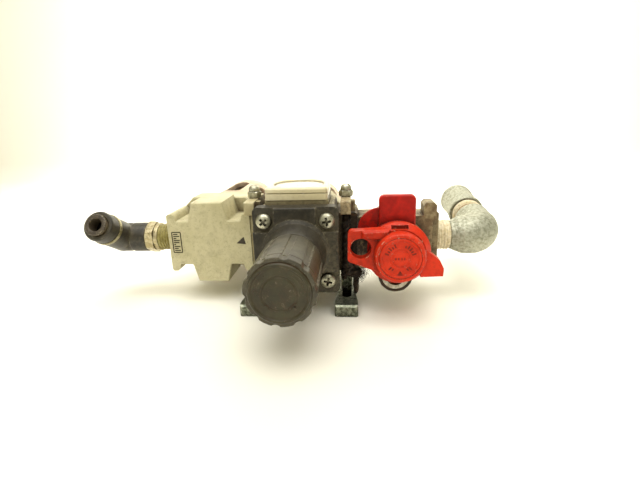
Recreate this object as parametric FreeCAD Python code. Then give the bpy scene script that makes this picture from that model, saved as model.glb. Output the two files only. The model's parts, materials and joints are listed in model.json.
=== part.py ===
import FreeCAD, Part
import math
import os

os.makedirs("parts", exist_ok=True)

# A modular air-preparation row, lying with its brackets on the mounting plane:
# a filter (left), a filter-regulator with a pressure gauge (middle) and a
# lock-out relief valve (right), with a push-in elbow and galvanised pipe
# fittings at the two ends. Millimetres; +X runs along the port axis, +Y along
# the bowls, +Z away from the mounting plane. While it is modelled the port
# axis is y = 0, z = 0; save() lifts everything so that the plane is z = 0.

PORT_HEIGHT = 30.0        # port axis above the mounting plane
MODULE = 40.0             # length of a module between its port faces
SPACER = 3.2              # gap that a spacer fills between two modules
PITCH = MODULE + SPACER
HALF = MODULE / 2
FILTER_X = -PITCH
VALVE_X = PITCH
JOINT_X = PITCH / 2       # middle of a spacer

PORT_THREAD_R = 6.58      # 1/4 inch taper thread, outside
PORT_HOLE_R = 6.62        # its tapped hole, as a plain bore
PORT_DEPTH = 11.5
PASSAGE_R = 4.5           # air passage from port to port

FLANGE_THICK = 3.4        # dovetail flange at each port face
FLANGE_HALF = 14.0
FRONT_Y = -12.0           # flat front of the filter head
BLOCK_HALF = 18.6         # half of the square middle of a body
COLLAR_Y = (8.0, 21.0)    # square collar that takes the bowl
COLLAR_HALF = 18.4
COLLAR_CHAMFER = 4.5

BOWL_R = 15.0
BOWL_WALL = 1.8
BOWL_Y = (14.7, 81.0)
GUARD_R = 18.0
GUARD_NECK_R = 16.6
GUARD_BORE_R = 15.35
GUARD_Y = (15.2, 84.5)
GUARD_STEP_Y = 21.4       # the guard is full size below the collar
WINDOW = (8.0, 30.0, 84)  # width and length of a guard window, middle of it near y = 45
WINDOW_Y = 45.0
DRAIN_END_Y = 87.6

BONNET_HALF_X = 18.6
BONNET_HALF_Z = 19.6
BONNET_Y = (-27.0, -19.2)
SKIRT_R = (13.4, 11.5)    # at the bonnet and at the knob
SKIRT_END_Y = -38.2
SPRING_CHAMBER_R = 9.4
SCREW_PITCH_HALF = 13.6   # bonnet screws stand on a square of twice this

KNOB_Y = (-70.2, -39.8)   # front face and open end
KNOB_R = 12.1
KNOB_PANEL_R = 12.6
KNOB_FLANGE_R = 12.7
KNOB_PANELS = 10
KNOB_TOOTH_ANGLE = 360 / 20
CAP_R = 11.0

GAUGE_HALF = 13.8
GAUGE_Y = -5.8            # middle of the gauge
GAUGE_Z = (21.5, 26.9)

BRACKET_END = 28.5        # half length of a bracket foot
BRACKET_WIDTH = 10.4
BRACKET_WAIST = 8.6
BRACKET_THICK = 5.5
SLOT_WIDTH = 4.4
SLOT_LENGTH = 11.0
SLOT_Y = 13.5

LOCK_AXIS_X = VALVE_X + 0.6
LOCK_BORE_R = 8.0
RELIEF_Z = -13.9          # axis of the relief port below the lock-out knob
RELIEF_R = 4.4            # 1/8 inch tapped hole, as a plain bore
ELBOW_X = -92.3           # corner of the push-in elbow
ELBOW_RAISE = 29.0        # degrees that its tube leg is turned up from -Y
STREET_X = 86.5           # corner of the galvanised elbow
SUPPLY_RAISE = 7.0        # degrees that the supply run is turned up from +Y
MOUTH_END = 19.6          # from that corner to the elbow's mouth
COUPLING = (29.4, 54.0)   # where the coupling starts and ends on that run

X = FreeCAD.Vector(1, 0, 0)
Y = FreeCAD.Vector(0, 1, 0)
Z = FreeCAD.Vector(0, 0, 1)


def vec(x, y, z):
    return FreeCAD.Vector(x, y, z)


def box(x, y, z):
    """Box between two x values, two y values and two z values."""
    return Part.makeBox(x[1] - x[0], y[1] - y[0], z[1] - z[0], vec(x[0], y[0], z[0]))


def rod(r, start, axis, length):
    return Part.makeCylinder(r, length, start, axis)


def tube(outer, inner, start, axis, length):
    return rod(outer, start, axis, length).cut(rod(inner, start, axis, length))


def fuse(first, *others):
    return first.multiFuse(list(others)).removeSplitter()


def cut(body, *tools):
    for tool in tools:
        body = body.cut(tool)
    return body


def turned(corners, start, axis):
    """Solid of revolution about axis; corners are (radius, distance from start)."""
    points = [vec(r, 0, h) for r, h in corners]
    face = Part.Face(Part.makePolygon(points + points[:1]))
    solid = face.revolve(vec(0, 0, 0), Z, 360)
    turn = FreeCAD.Rotation(Z, axis)
    solid.Placement = FreeCAD.Placement(start, turn)
    return solid


def plate(outline, across, start, thickness):
    """Flat plate of an outline drawn square to the axis named by across."""
    place = {"X": lambda a, b: vec(start, a, b),
             "Y": lambda a, b: vec(a, start, b),
             "Z": lambda a, b: vec(a, b, start)}[across]
    way = {"X": X, "Y": Y, "Z": Z}[across]
    points = [place(a, b) for a, b in outline]
    return Part.Face(Part.makePolygon(points + points[:1])).extrude(way * thickness)


def edges_along(solid, axis):
    """The straight edges of a solid that run along an axis."""
    found = []
    for edge in solid.Edges:
        way = edge.tangentAt(edge.FirstParameter)
        straight = edge.Curve.TypeId == "Part::GeomLine"
        if straight and abs(abs(way.dot(axis)) - 1) < 1e-6:
            found.append(edge)
    return found


def rounded(solid, radius, axis):
    return solid.makeFillet(radius, edges_along(solid, axis))


def bevelled(solid, size, axis):
    return solid.makeChamfer(size, edges_along(solid, axis))


def hexagon(across_flats, start, length):
    """Hexagonal bar along X with two of its flats level."""
    radius = across_flats / math.sqrt(3)
    angles = [math.radians(60 * k) for k in range(6)]
    outline = [(start[1] + radius * math.cos(a), start[2] + radius * math.sin(a)) for a in angles]
    bar = plate(outline, "X", start[0], length)
    dome = radius - 0.35
    ends = turned([(0, 0), (dome, 0), (radius + 0.2, 0.8), (radius + 0.2, length - 0.8),
                   (dome, length), (0, length)], vec(*start), X)
    return bar.common(ends)


def save(name, *solids):
    shape = solids[0] if len(solids) == 1 else Part.Compound(list(solids))
    shape = shape.copy()
    shape.translate(vec(0, 0, PORT_HEIGHT))
    shape.exportStep(f"parts/{name}.step")
    print(name, len(shape.Solids), round(shape.Volume, 1), shape.isValid())


# ---- module bodies -------------------------------------------------------

def flanges(middle):
    """The dovetail flanges at both port faces, thinner towards their tips."""
    parts = []
    for side in (-1, 1):
        face = middle + side * HALF
        root = face - side * (FLANGE_THICK + 1.6)
        tip = face - side * FLANGE_THICK
        outline = [(root, 9), (tip, FLANGE_HALF), (face, FLANGE_HALF),
                   (face, -FLANGE_HALF), (tip, -FLANGE_HALF), (root, -9)]
        parts.append(bevelled(plate(outline, "Y", FRONT_Y, COLLAR_Y[0] - FRONT_Y + 1), 0.8, Y))
    return parts


def collar(middle):
    """Square collar with cut corners, bored for the bowl and its guard."""
    block = box((middle - COLLAR_HALF, middle + COLLAR_HALF), COLLAR_Y, (-COLLAR_HALF, COLLAR_HALF))
    block = bevelled(block, COLLAR_CHAMFER, Y)
    front_edges = [e for e in block.Edges if abs(e.CenterOfMass.y - COLLAR_Y[0]) < 1e-6]
    return block.makeChamfer(0.6, front_edges)


def bowl_bore(middle):
    """Stepped bore that the bowl's rim, its seal and the guard's neck enter."""
    return turned([(0, 9.0), (12.9, 9.0), (12.9, 12.9), (15.4, 12.9), (15.4, 14.9),
                   (GUARD_NECK_R + 0.3, 14.9), (GUARD_NECK_R + 0.3, COLLAR_Y[1] + 1),
                   (0, COLLAR_Y[1] + 1)], vec(middle, 0, 0), Y)


def port(middle, side, thread=False):
    """Air passage from one port face to the middle, tapped where a pipe enters."""
    face = middle + side * HALF
    cutter = rod(PASSAGE_R, vec(face, 0, 0), X * -side, HALF)
    if not thread:
        return cutter
    mouth = turned([(0, -0.1), (PORT_HOLE_R + 0.7, -0.1), (PORT_HOLE_R, 0.7),
                    (PORT_HOLE_R, PORT_DEPTH), (0, PORT_DEPTH)], vec(face, 0, 0), X * -side)
    return cutter.fuse(mouth)


def filter_head():
    """Head with a cross-shaped flat front; air leaves at the left port."""
    c = FILTER_X
    arm, root, bar, top = 7.4, 9.4, 10.8, 19.5
    right = [(arm, top), (root, bar + 0.6), (root + 0.4, bar), (HALF - FLANGE_THICK - 0.4, bar)]
    mirrored = [(x, -z) for x, z in reversed(right)]
    half = right + mirrored
    outline = [(c + x, z) for x, z in half] + [(c - x, z) for x, z in reversed(half)]
    cross = plate(outline, "Y", FRONT_Y, COLLAR_Y[0] - FRONT_Y + 1)
    front = [e for e in cross.Edges if abs(e.CenterOfMass.y - FRONT_Y) < 1e-6]
    cross = cross.makeChamfer(0.5, front)
    body = fuse(cross, *flanges(c), collar(c))
    holes = [rod(1.25, vec(c + x, 7, 14.6), Y, 5) for x in (-14.4, 13.6)]
    down = rod(5.2, vec(c, -2, 0), Y, 14)
    return cut(body, bowl_bore(c), port(c, -1, True), port(c, 1), down, *holes)


def regulator_body():
    """Body between bonnet and bowl, with the square seat of the gauge on top."""
    block = box((-BLOCK_HALF + 1.6, BLOCK_HALF - 1.6), (BONNET_Y[1], COLLAR_Y[0] + 1),
                (-BLOCK_HALF, BLOCK_HALF))
    seat = box((-GAUGE_HALF - 0.3, GAUGE_HALF + 0.3),
               (BONNET_Y[1], GAUGE_Y + GAUGE_HALF + 0.3), (BLOCK_HALF - 1, GAUGE_Z[0]))
    body = fuse(rounded(block, 2.0, Y), rounded(seat, 1.2, Z), *flanges(0), collar(0))
    diaphragm_seat = rod(14.7, vec(0, BONNET_Y[1] - 0.1, 0), Y, 3.6)
    throat = rod(3.6, vec(0, -16, 0), Y, 20)
    chamber = rod(6.6, vec(0, 3.0, 0), Y, 8)
    sense = rod(1.2, vec(0, GAUGE_Y, 8), Z, 14)
    holes = [rod(1.45, vec(x, BONNET_Y[1] - 0.1, z), Y, 9.1) for x, z in bonnet_corners()]
    inlet = rod(PASSAGE_R, vec(HALF + 0.1, 0, 0), X * -1, 12.1)
    outlet = rod(3.2, vec(-HALF - 0.1, 0, 0), X, HALF)
    lead = rod(2.6, vec(12.5, 0, 0), Y, 10)
    return cut(body, bowl_bore(0), diaphragm_seat, throat, chamber, sense, inlet, outlet, lead, *holes)


def bonnet_corners():
    return [(sx * SCREW_PITCH_HALF, sz * SCREW_PITCH_HALF) for sx in (-1, 1) for sz in (-1, 1)]


def bonnet():
    """Square foot with recessed corner pads and a tapered skirt below the knob."""
    foot = box((-BONNET_HALF_X, BONNET_HALF_X), BONNET_Y, (-BONNET_HALF_Z, BONNET_HALF_Z))
    foot = rounded(foot, 2.2, Y)
    front = [e for e in foot.Edges if abs(e.CenterOfMass.y - BONNET_Y[0]) < 1e-6]
    foot = foot.makeFillet(0.7, front)
    skirt = turned([(0, 0), (SKIRT_R[0] + 1.3, 0), (SKIRT_R[0] + 1.3, 1.0), (SKIRT_R[0], 1.8),
                    (SKIRT_R[1] + 0.5, 10.2), (SKIRT_R[1], 11.2), (0, 11.2)],
                   vec(0, BONNET_Y[0] + 0.1, 0), Y * -1)
    body = foot.fuse(skirt)
    for x, z in bonnet_corners():
        sx, sz = math.copysign(1, x), math.copysign(1, z)
        pad = box(sorted((x - sx * 4.6, x + sx * 8)), (BONNET_Y[0] - 3, BONNET_Y[0] + 2.0),
                  sorted((z - sz * 4.6, z + sz * 8)))
        keep = rod(SKIRT_R[0] + 1.3, vec(0, BONNET_Y[0] - 3, 0), Y, 6)
        body = cut(body, pad.cut(keep), rod(1.75, vec(x, BONNET_Y[0], z), Y, 8))
    chamber = rod(SPRING_CHAMBER_R, vec(0, SKIRT_END_Y + 2.4, 0), Y, 17)
    flare = turned([(0, 0), (14.7, 0), (14.7, 1.2), (SPRING_CHAMBER_R, 5), (0, 5)],
                   vec(0, BONNET_Y[1] + 0.01, 0), Y * -1)
    return cut(body, chamber, flare, rod(4.06, vec(0, SKIRT_END_Y - 1, 0), Y, 5))


def pan_screw(x, z, seat_y):
    """Cross-recess pan-head screw whose shank points to +Y."""
    head = turned([(0, 0), (3.5, 0), (3.5, 0.9), (2.9, 1.9), (1.7, 2.5), (0, 2.6)],
                  vec(x, seat_y, z), Y * -1)
    shank = rod(1.4, vec(x, seat_y - 0.2, z), Y, 13.0)
    slots = [box((x - a, x + a), (seat_y - 3, seat_y - 1.2), (z - b, z + b))
             for a, b in ((1.7, 0.42), (0.42, 1.7))]
    return cut(head.fuse(shank), *slots)


# ---- regulator works -----------------------------------------------------

def adjusting_knob():
    """Cup with raised grip panels, a lobed front flange and splines inside."""
    front, back = KNOB_Y
    length = back - front
    body = turned([(KNOB_R - 0.6, 0), (KNOB_R, 0.6), (KNOB_R, length), (0, length), (0, 0)],
                  vec(0, back, 0), Y * -1)
    for k in range(KNOB_PANELS):
        angle = 360 / KNOB_PANELS * (k + 0.25)
        wedge = rod(KNOB_PANEL_R, vec(0, front + 4.2, 0), Y, length - 6.2)
        side = box((0, 20), (front, back), (-2.9, 2.9))
        side.rotate(vec(0, 0, 0), Y, angle)
        body = body.fuse(wedge.common(side))
    flange = rod(KNOB_FLANGE_R, vec(0, front, 0), Y, 4.0)
    for k in range(KNOB_PANELS):
        angle = math.radians(360 / KNOB_PANELS * (k + 0.75))
        notch = rod(2.4, vec(14.4 * math.cos(angle), front - 1, -14.4 * math.sin(angle)), Y, 6)
        flange = flange.cut(notch)
    body = fuse(body, flange)
    hollow = turned([(0, -1), (10.3, -1), (10.3, 14), (7.2, 16), (7.2, length - 3.2), (0, length - 3.2)],
                    vec(0, back, 0), Y * -1)
    hub = turned([(0, 0), (6.0, 0), (6.0, 13.0), (0, 13.0)], vec(0, front + 1, 0), Y)
    spline = plate([(4.07 * math.cos(math.radians(60 * k)), 4.07 * math.sin(math.radians(60 * k)))
                    for k in range(6)], "Y", front + 2.9, 12)
    pocket = rod(CAP_R + 0.1, vec(0, front - 0.1, 0), Y, 1.3)
    return cut(fuse(body.cut(hollow), hub), spline, pocket)


def knob_cap():
    """Disc pressed into the knob's front, with rings turned into its face."""
    corners = [(0, 0), (CAP_R, 0), (CAP_R, 2.0), (CAP_R - 0.5, 2.4), (CAP_R - 1.1, 2.4),
               (CAP_R - 1.5, 2.0), (6.4, 2.0), (6.1, 1.8), (5.7, 1.8), (5.4, 2.0), (0, 2.0)]
    return turned(corners, vec(0, KNOB_Y[0] + 1.15, 0), Y * -1)


def adjusting_screw():
    """Screw held in the bonnet's nose; its hexagon drives inside the knob."""
    hexagon_end = plate([(4.0 * math.cos(math.radians(60 * k)), 4.0 * math.sin(math.radians(60 * k)))
                         for k in range(6)], "Y", -64.5, 22.0)
    journal = turned([(0, 0), (4.0, 0), (4.0, 6.9), (6.0, 6.9), (6.0, 8.1), (3.0, 8.1),
                      (3.0, 18.4), (0, 18.4)], vec(0, -42.6, 0), Y)
    return fuse(hexagon_end, journal)


def spring_seat():
    """Square-cornered nut that climbs on the screw and presses the spring."""
    disc = turned([(3.06, 0), (8.6, 0), (8.6, 1.6), (6.0, 1.6), (6.0, 3.4), (3.06, 3.4)],
                  vec(0, -32.6, 0), Y)
    return disc


def coil(radius, wire, start, length, turns):
    """Spring along Y as a stack of closed rings joined by short slanted bars."""
    step = (length - 2 * wire) / turns
    rings = []
    for k in range(turns + 1):
        ring = Part.makeTorus(radius, wire, vec(0, start + wire + k * step, 0), Y)
        rings.append(ring)
    bars = []
    for k in range(turns):
        angle = math.radians(140 * k)
        foot = vec(radius * math.cos(angle), start + wire + k * step, radius * math.sin(angle))
        bars.append(rod(wire * 0.9, foot, Y, step))
    return fuse(rings[0], *rings[1:], *bars)


def diaphragm():
    """Rubber disc with its clamped bead, its plates and the relief boss."""
    return turned([(0, 0), (5.6, 0), (5.6, 0.9), (9.0, 0.9), (9.0, 1.4), (14.3, 1.4), (14.3, 2.4),
                   (9.0, 2.4), (9.0, 2.9), (0, 2.9)], vec(0, -20.6, 0), Y)


def valve_stem():
    """Poppet below the seat with the rod that the diaphragm pushes."""
    return turned([(0, 0), (1.2, 0.3), (1.2, 20.6), (2.0, 21.0), (5.2, 21.0), (5.2, 23.4),
                   (2.2, 23.4), (2.2, 26.4), (0, 26.4)], vec(0, -17.6, 0), Y)


def valve_spring():
    return coil(3.7, 0.35, 5.9, 7.2, 4)


# ---- bowls ---------------------------------------------------------------

def bowl_pieces(middle, button_side):
    """Everything below a head: element, baffle, seal, bowl, guard, button, drain."""
    at = vec(middle, 0, 0)
    deflector = turned([(5.6, 9.6), (12.6, 9.6), (12.6, 12.4), (9.0, 12.4), (9.0, 19.0), (12.0, 23.0),
                        (12.0, 24.0), (3.2, 24.0), (3.2, 14.0), (5.6, 12.0)], at, Y)
    for k in range(12):
        louvre = box((8.4, 13), (19.5, 25), (-0.6, 0.6))
        louvre.rotate(vec(0, 0, 0), Y, 30 * k)
        louvre.translate(at)
        deflector = deflector.cut(louvre)
    element = tube(9.4, 6.0, vec(middle, 24.2, 0), Y, 33.6)
    baffle = turned([(0, 24.1), (2.2, 24.1), (2.2, 58.0), (9.8, 58.0), (11.4, 61.5), (11.4, 62.4),
                     (8.6, 60.6), (2.2, 60.2), (0, 60.2)], at, Y)
    seal = Part.makeTorus(14.25, 0.85, vec(middle, 13.78, 0), Y)
    inner = BOWL_R - BOWL_WALL
    bowl = turned([(inner, BOWL_Y[0]), (BOWL_R + 0.1, BOWL_Y[0]), (BOWL_R, BOWL_Y[0] + 2), (BOWL_R, 70),
                   (12.6, 77), (7.5, 80), (4.2, 81), (4.2, 84.0), (2.55, 84.0), (2.55, 79),
                   (7.0, 78), (11.2, 75.4), (inner, 69.6)], at, Y)
    guard = turned([(GUARD_BORE_R, GUARD_Y[0]), (GUARD_NECK_R, GUARD_Y[0]), (GUARD_NECK_R, GUARD_STEP_Y),
                    (GUARD_R - 0.6, GUARD_STEP_Y), (GUARD_R, GUARD_STEP_Y + 0.6), (GUARD_R, 73),
                    (GUARD_R - 1, 77), (12.5, 83.5), (10.5, GUARD_Y[1]), (7.0, GUARD_Y[1]),
                    (7.0, 82.5), (11.0, 81.5), (GUARD_BORE_R, 75)], at, Y)
    for k in range(4):
        half = WINDOW[0] / 2
        reach = WINDOW[1] / 2 - half
        slot = box((10, 20), (WINDOW_Y - reach, WINDOW_Y + reach), (-half, half))
        for end in (-reach, reach):
            slot = slot.fuse(rod(half, vec(10, WINDOW_Y + end, 0), X, 10))
        slot.rotate(vec(0, 0, 0), Y, 45 + 90 * k if k % 2 else 90 * k - 90)
        slot.translate(at)
        guard = guard.cut(slot)
    button_hole = box((GUARD_BORE_R - 1, GUARD_R + 1), (22.6, 31.0), (-3.7, 3.7))
    button = box((GUARD_BORE_R + 0.25, GUARD_R + 1.2), (22.9, 28.4), (-3.4, 3.4))
    button = rounded(button, 0.8, X)
    ridges = [box((GUARD_R + 0.7, GUARD_R + 2), (24.2 + k * 1.4, 24.8 + k * 1.4), (-4, 4))
              for k in range(3)]
    button = cut(button, *ridges)
    if button_side < 0:
        for shape in (button_hole, button):
            shape.rotate(vec(0, 0, 0), Y, 180)
    for shape in (button_hole, button):
        shape.translate(at)
    guard = guard.cut(button_hole)
    drain = turned([(0, 79.5), (2.48, 79.5), (2.48, 84.3), (6.6, 84.3), (6.6, 86.6),
                    (6.0, DRAIN_END_Y), (1.6, DRAIN_END_Y), (1.6, 86.0), (0, 86.0)], at, Y)
    for k in range(12):
        angle = math.radians(30 * k)
        groove = rod(0.7, vec(middle + 6.9 * math.cos(angle), 84, 6.9 * math.sin(angle)), Y, 5)
        drain = drain.cut(groove)
    return {"deflector": deflector, "element": element, "baffle": baffle, "bowl_seal": seal,
            "bowl": bowl, "bowl_guard": guard, "lock_button": button, "drain_cock": drain}


# ---- gauge ---------------------------------------------------------------

def gauge_square(z):
    square = box((-GAUGE_HALF, GAUGE_HALF), (GAUGE_Y - GAUGE_HALF, GAUGE_Y + GAUGE_HALF), z)
    return rounded(square, 1.6, Z)


def gauge_case():
    bottom, top = GAUGE_Z
    case = gauge_square((bottom, top - 2.6))
    return cut(case, rod(11.6, vec(0, GAUGE_Y, bottom + 1.2), Z, 5), rod(1.2, vec(0, GAUGE_Y, bottom - 1), Z, 3))


def gauge_cover():
    """Square bezel with a round opening; a groove parts it from the case."""
    bottom, top = GAUGE_Z
    cover = gauge_square((top - 2.6, top))
    upper = [e for e in cover.Edges if abs(e.CenterOfMass.z - top) < 1e-6]
    cover = cover.makeChamfer(0.7, upper)
    groove = gauge_square((top - 2.61, top - 2.2)).cut(
        rounded(box((0.5 - GAUGE_HALF, GAUGE_HALF - 0.5),
                    (GAUGE_Y + 0.5 - GAUGE_HALF, GAUGE_Y + GAUGE_HALF - 0.5), (top - 3, top)), 1.2, Z))
    opening = turned([(0, -3), (11.3, -3), (11.3, -1.6), (11.6, -1.6), (11.6, -0.5), (12.2, 0.1), (0, 0.1)],
                     vec(0, GAUGE_Y, top), Z)
    return cut(cover, groove, opening)


def gauge_pointer():
    """Needle at zero, with its tail and hub, on a spindle through the dial."""
    height = GAUGE_Z[1] - 2.3
    needle = plate([(-0.22, 9.2), (0.22, 9.2), (0.55, -3.6), (-0.55, -3.6)], "Z", height, 0.35)
    needle.rotate(vec(0, 0, 0), Z, 135)
    needle.translate(vec(0, GAUGE_Y, 0))
    hub = rod(1.5, vec(0, GAUGE_Y, height), Z, 0.7)
    spindle = rod(0.45, vec(0, GAUGE_Y, GAUGE_Z[0] + 1.5), Z, 2.0)
    return fuse(needle, hub, spindle)


# ---- spacers, clamps and brackets ----------------------------------------

def spacer(side):
    middle = side * JOINT_X
    low, high = middle - SPACER / 2, middle + SPACER / 2
    body = rounded(box((low, high), (-11.5, 11.5), (-14.3, 14.3)), 2.0, X)
    groove = [tube(8.1, 6.3, vec(x, 0, 0), X, 0.9) for x in (low, high - 0.9)]
    screw = rod(1.42, vec(middle, -5, 8.4), Z, 8)
    foot_screw = rod(1.42, vec(middle, 0, -16), Z, 6)
    return cut(body, rod(PASSAGE_R, vec(low, 0, 0), X, SPACER), *groove, screw, foot_screw)


def spacer_seals(side):
    middle = side * JOINT_X
    return [tube(7.95, 6.45, vec(x, 0, 0), X, 0.85)
            for x in (middle - SPACER / 2, middle + SPACER / 2 - 0.85)]


def clamp(side):
    """Cast jaw that sits on the spacer between the two bodies."""
    middle = side * JOINT_X
    jaw = box((middle - 2.3, middle + 2.3), (-18.0, 6.0), (14.35, 20.4))
    jaw = rounded(jaw, 0.7, X)
    lug = box((middle + 1.2, middle + 4.2), (-14.0, -10.5), (15.0, 20.0))
    return fuse(jaw, lug).cut(rod(1.5, vec(middle, -5, 13), Z, 9))


def clamp_screw(side):
    middle = side * JOINT_X
    head = turned([(0, 0), (2.6, 0), (2.6, 1.2), (2.1, 2.3), (1.2, 2.8), (0, 2.9)], vec(middle, -5, 23.4), Z)
    slot = box((middle - 3, middle + 3), (-5.35, -4.65), (25.2, 27))
    return cut(head.fuse(rod(1.38, vec(middle, -5, 8.6), Z, 15)), slot)


def clamp_nut(side):
    middle = side * JOINT_X
    nut = plate([(middle + 3.3 * math.cos(math.radians(60 * k)),
                  -5 + 3.3 * math.sin(math.radians(60 * k))) for k in range(6)], "Z", 20.45, 2.9)
    crown = turned([(0, 0), (2.9, 0), (3.4, 0.6), (3.4, 2.3), (2.9, 2.9), (0, 2.9)], vec(middle, -5, 20.45), Z)
    return nut.common(crown).cut(rod(1.45, vec(middle, -5, 19), Z, 6))


def slot_cutter(middle, y):
    half = SLOT_WIDTH / 2
    reach = SLOT_LENGTH / 2 - half
    bottom = -PORT_HEIGHT - 1
    body = box((middle - half, middle + half), (y - reach, y + reach), (bottom, bottom + 10))
    ends = [rod(half, vec(middle, y + e, bottom), Z, 10) for e in (-reach, reach)]
    return fuse(body, *ends)


def bracket(side):
    """Waisted foot with a slot at each end and a stem up to the spacer."""
    middle = side * JOINT_X
    wide, waist, end = BRACKET_WIDTH / 2, BRACKET_WAIST / 2, BRACKET_END
    half = [(wide, end), (wide, end - 5), (waist, end - 13), (waist, -end + 13), (wide, -end + 5), (wide, -end)]
    outline = [(middle + x, y) for x, y in half] + [(middle - x, y) for x, y in reversed(half)]
    floor = -PORT_HEIGHT
    foot = plate(outline, "Z", floor, BRACKET_THICK)
    ends = [e for e in foot.Edges
            if abs(abs(e.CenterOfMass.y) - end) < 1e-6 and e.CenterOfMass.z > floor + 1]
    foot = foot.makeChamfer(0.8, ends)
    stem = rounded(box((middle - 2.6, middle + 2.6), (-7.5, 7.5), (floor + BRACKET_THICK - 1, -14.35)), 0.8, Z)
    slots = [slot_cutter(middle, y) for y in (-SLOT_Y, SLOT_Y)]
    well = rod(2.9, vec(middle, 0, floor - 1), Z, 4.0)
    return cut(fuse(foot, stem), *slots, well, rod(1.5, vec(middle, 0, floor), Z, 20))


def bracket_screw(side):
    middle = side * JOINT_X
    head = turned([(0, 0), (2.6, 0), (2.6, 1.6), (1.38, 1.7), (1.38, 17.0), (0, 17.0)],
                  vec(middle, 0, -PORT_HEIGHT + 1.3), Z)
    return head


# ---- lock-out relief valve -----------------------------------------------

def lockout_body():
    """Front block, a barrel along each bore, the neck, and the relief port below."""
    c, axis = VALVE_X, LOCK_AXIS_X
    block = rounded(box((c - 16.5, c + 16.5), (-17.0, -2.0), (-11.0, 13.3)), 1.6, Y)
    along = rod(11.2, vec(c - 16.5, 0.5, 0), X, 33.0)
    barrel = turned([(0, 0), (11.0, 0), (11.0, 38.0), (9.6, 39.4), (0, 39.4)], vec(axis, -16.0, 0), Y)
    neck = turned([(0, 0), (13.0, 0), (13.0, 2.2), (12.4, 3.0), (0, 3.0)], vec(axis, -17.0, 0), Y * -1)
    lump = bevelled(box((c + 12.4, c + 18.0), (-17.0, -8.0), (11.0, 19.2)), 1.2, Y)
    boss = turned([(0, 0), (7.2, 0), (7.7, 0.5), (7.7, 15.0), (0, 15.0)], vec(axis, -19.4, RELIEF_Z), Y)
    body = fuse(block, along, barrel, neck, lump, boss, *flanges(c))
    bore = turned([(0, 0), (LOCK_BORE_R, 0), (LOCK_BORE_R, 41), (0, 41)], vec(axis, -20.1, 0), Y)
    relief = turned([(0, -0.1), (5.4, -0.1), (RELIEF_R, 0.7), (RELIEF_R, 12.0), (0, 12.0)],
                    vec(axis, -19.4, RELIEF_Z), Y)
    vent = rod(2.2, vec(axis, -11.0, RELIEF_Z), Z, 8)
    dashes = [box((c + x + 1.2 * k, c + x + 1.2 * k + 0.7), (-12.0, -11.2), (12.9, 14.0))
              for x in (-13.4, 5.6) for k in range(6)]
    return cut(body, bore, relief, vent, port(c, -1), port(c, 1, True), *dashes)


def lockout_housing():
    """Red collar on the valve's neck with the upright tongue and the fin."""
    c = LOCK_AXIS_X
    collar_ring = turned([(6.3, 0), (12.9, 0), (12.9, 3.6), (12.3, 4.4), (6.3, 4.4)], vec(c, -20.05, 0), Y * -1)
    tongue = box((c - 8.0, c + 7.5), (-23.2, -20.05), (6.0, 23.8))
    corners = [e for e in edges_along(tongue, Y) if e.CenterOfMass.z > 20]
    tongue = tongue.makeFillet(2.2, corners)
    top = [e for e in tongue.Edges if e.CenterOfMass.z > 23.7 and e.CenterOfMass.y < -23]
    tongue = tongue.makeChamfer(0.5, top)
    fin = rod(9.8, vec(c - 7.2, -21.8, 8.4), Y, 1.75).common(
        box((c - 17.4, c - 6.0), (-22, -20), (6.0, 19)))
    screws = [rod(1.3, vec(c + 10.0 * sx, -26, -2.6), Y, 7) for sx in (-1, 1)]
    return cut(fuse(collar_ring, tongue, fin), rod(6.3, vec(c, -26, 0), Y, 8), *screws)


def housing_screw(side):
    x = LOCK_AXIS_X + 10.0 * side
    return turned([(0, 0), (2.2, 0), (2.2, 1.15), (1.2, 1.15), (1.2, 4.4), (0, 4.4)],
                  vec(x, -24.45 - 1.2, -2.6), Y)


def lockout_knob():
    """Red knob: stem, coned base with padlock ear and wing, and the round grip."""
    c = LOCK_AXIS_X
    stem = turned([(0, 0), (6.2, 0), (6.2, 7.4), (7.95, 7.4), (7.95, 13.4), (0, 13.4)], vec(c, -27.2, 0), Y)
    base = turned([(0, 0), (13.5, 0), (13.5, 1.8), (11.2, 4.8), (0, 4.8)], vec(c, -26.8, 0), Y * -1)
    grip = turned([(0, 0), (10.7, 0), (10.5, 4.2), (9.9, 4.9), (0, 4.9)], vec(c, -31.2, 0), Y * -1)
    ear = plate([(c - 5.0, 10.9), (c - 21.2, 10.5), (c - 21.4, -2.6), (c - 8.6, -7.4)], "Y", -31.6, 4.8)
    tips = [e for e in edges_along(ear, Y) if e.CenterOfMass.x < c - 20]
    ear = ear.makeFillet(1.8, tips)
    arm = plate([(c - 4.0, 11.4), (c - 15.6, 10.7), (c - 15.6, 7.6), (c - 4.0, 6.0)], "Y", -32.8, 6.0)
    arm = arm.makeChamfer(0.9, [e for e in arm.Edges if abs(e.CenterOfMass.y + 32.8) < 1e-6])
    wing = plate([(c + 9.0, 3.0), (c + 12.4, 1.2), (c + 16.8, -2.4), (c + 18.6, -6.0), (c + 18.4, -9.4),
                  (c + 9.0, -9.8)], "Y", -31.2, 4.4)
    body = fuse(stem, base, grip, ear, arm, wing)
    hole = rod(PADLOCK_R, vec(c + PADLOCK_X, -34, PADLOCK_Z), Y, 10)
    slot = box((c - 3.4, c + 3.6), (-33, -28.9), (11.0, 12.5))
    pocket = rod(8.8, vec(c, -37, 0), Y, 1.9)
    return cut(body, hole, slot, pocket)


PADLOCK_R = 4.4
PADLOCK_X = -15.9
PADLOCK_Z = 3.0


def lockout_knob_cap():
    c = LOCK_AXIS_X
    return turned([(0, 0), (8.7, 0), (8.7, 0.9), (8.2, 1.3), (7.6, 1.3), (7.2, 0.9), (4.0, 0.9),
                   (3.8, 0.7), (3.4, 0.7), (3.2, 0.9), (0, 0.9)], vec(c, -35.1, 0), Y * -1)


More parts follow.
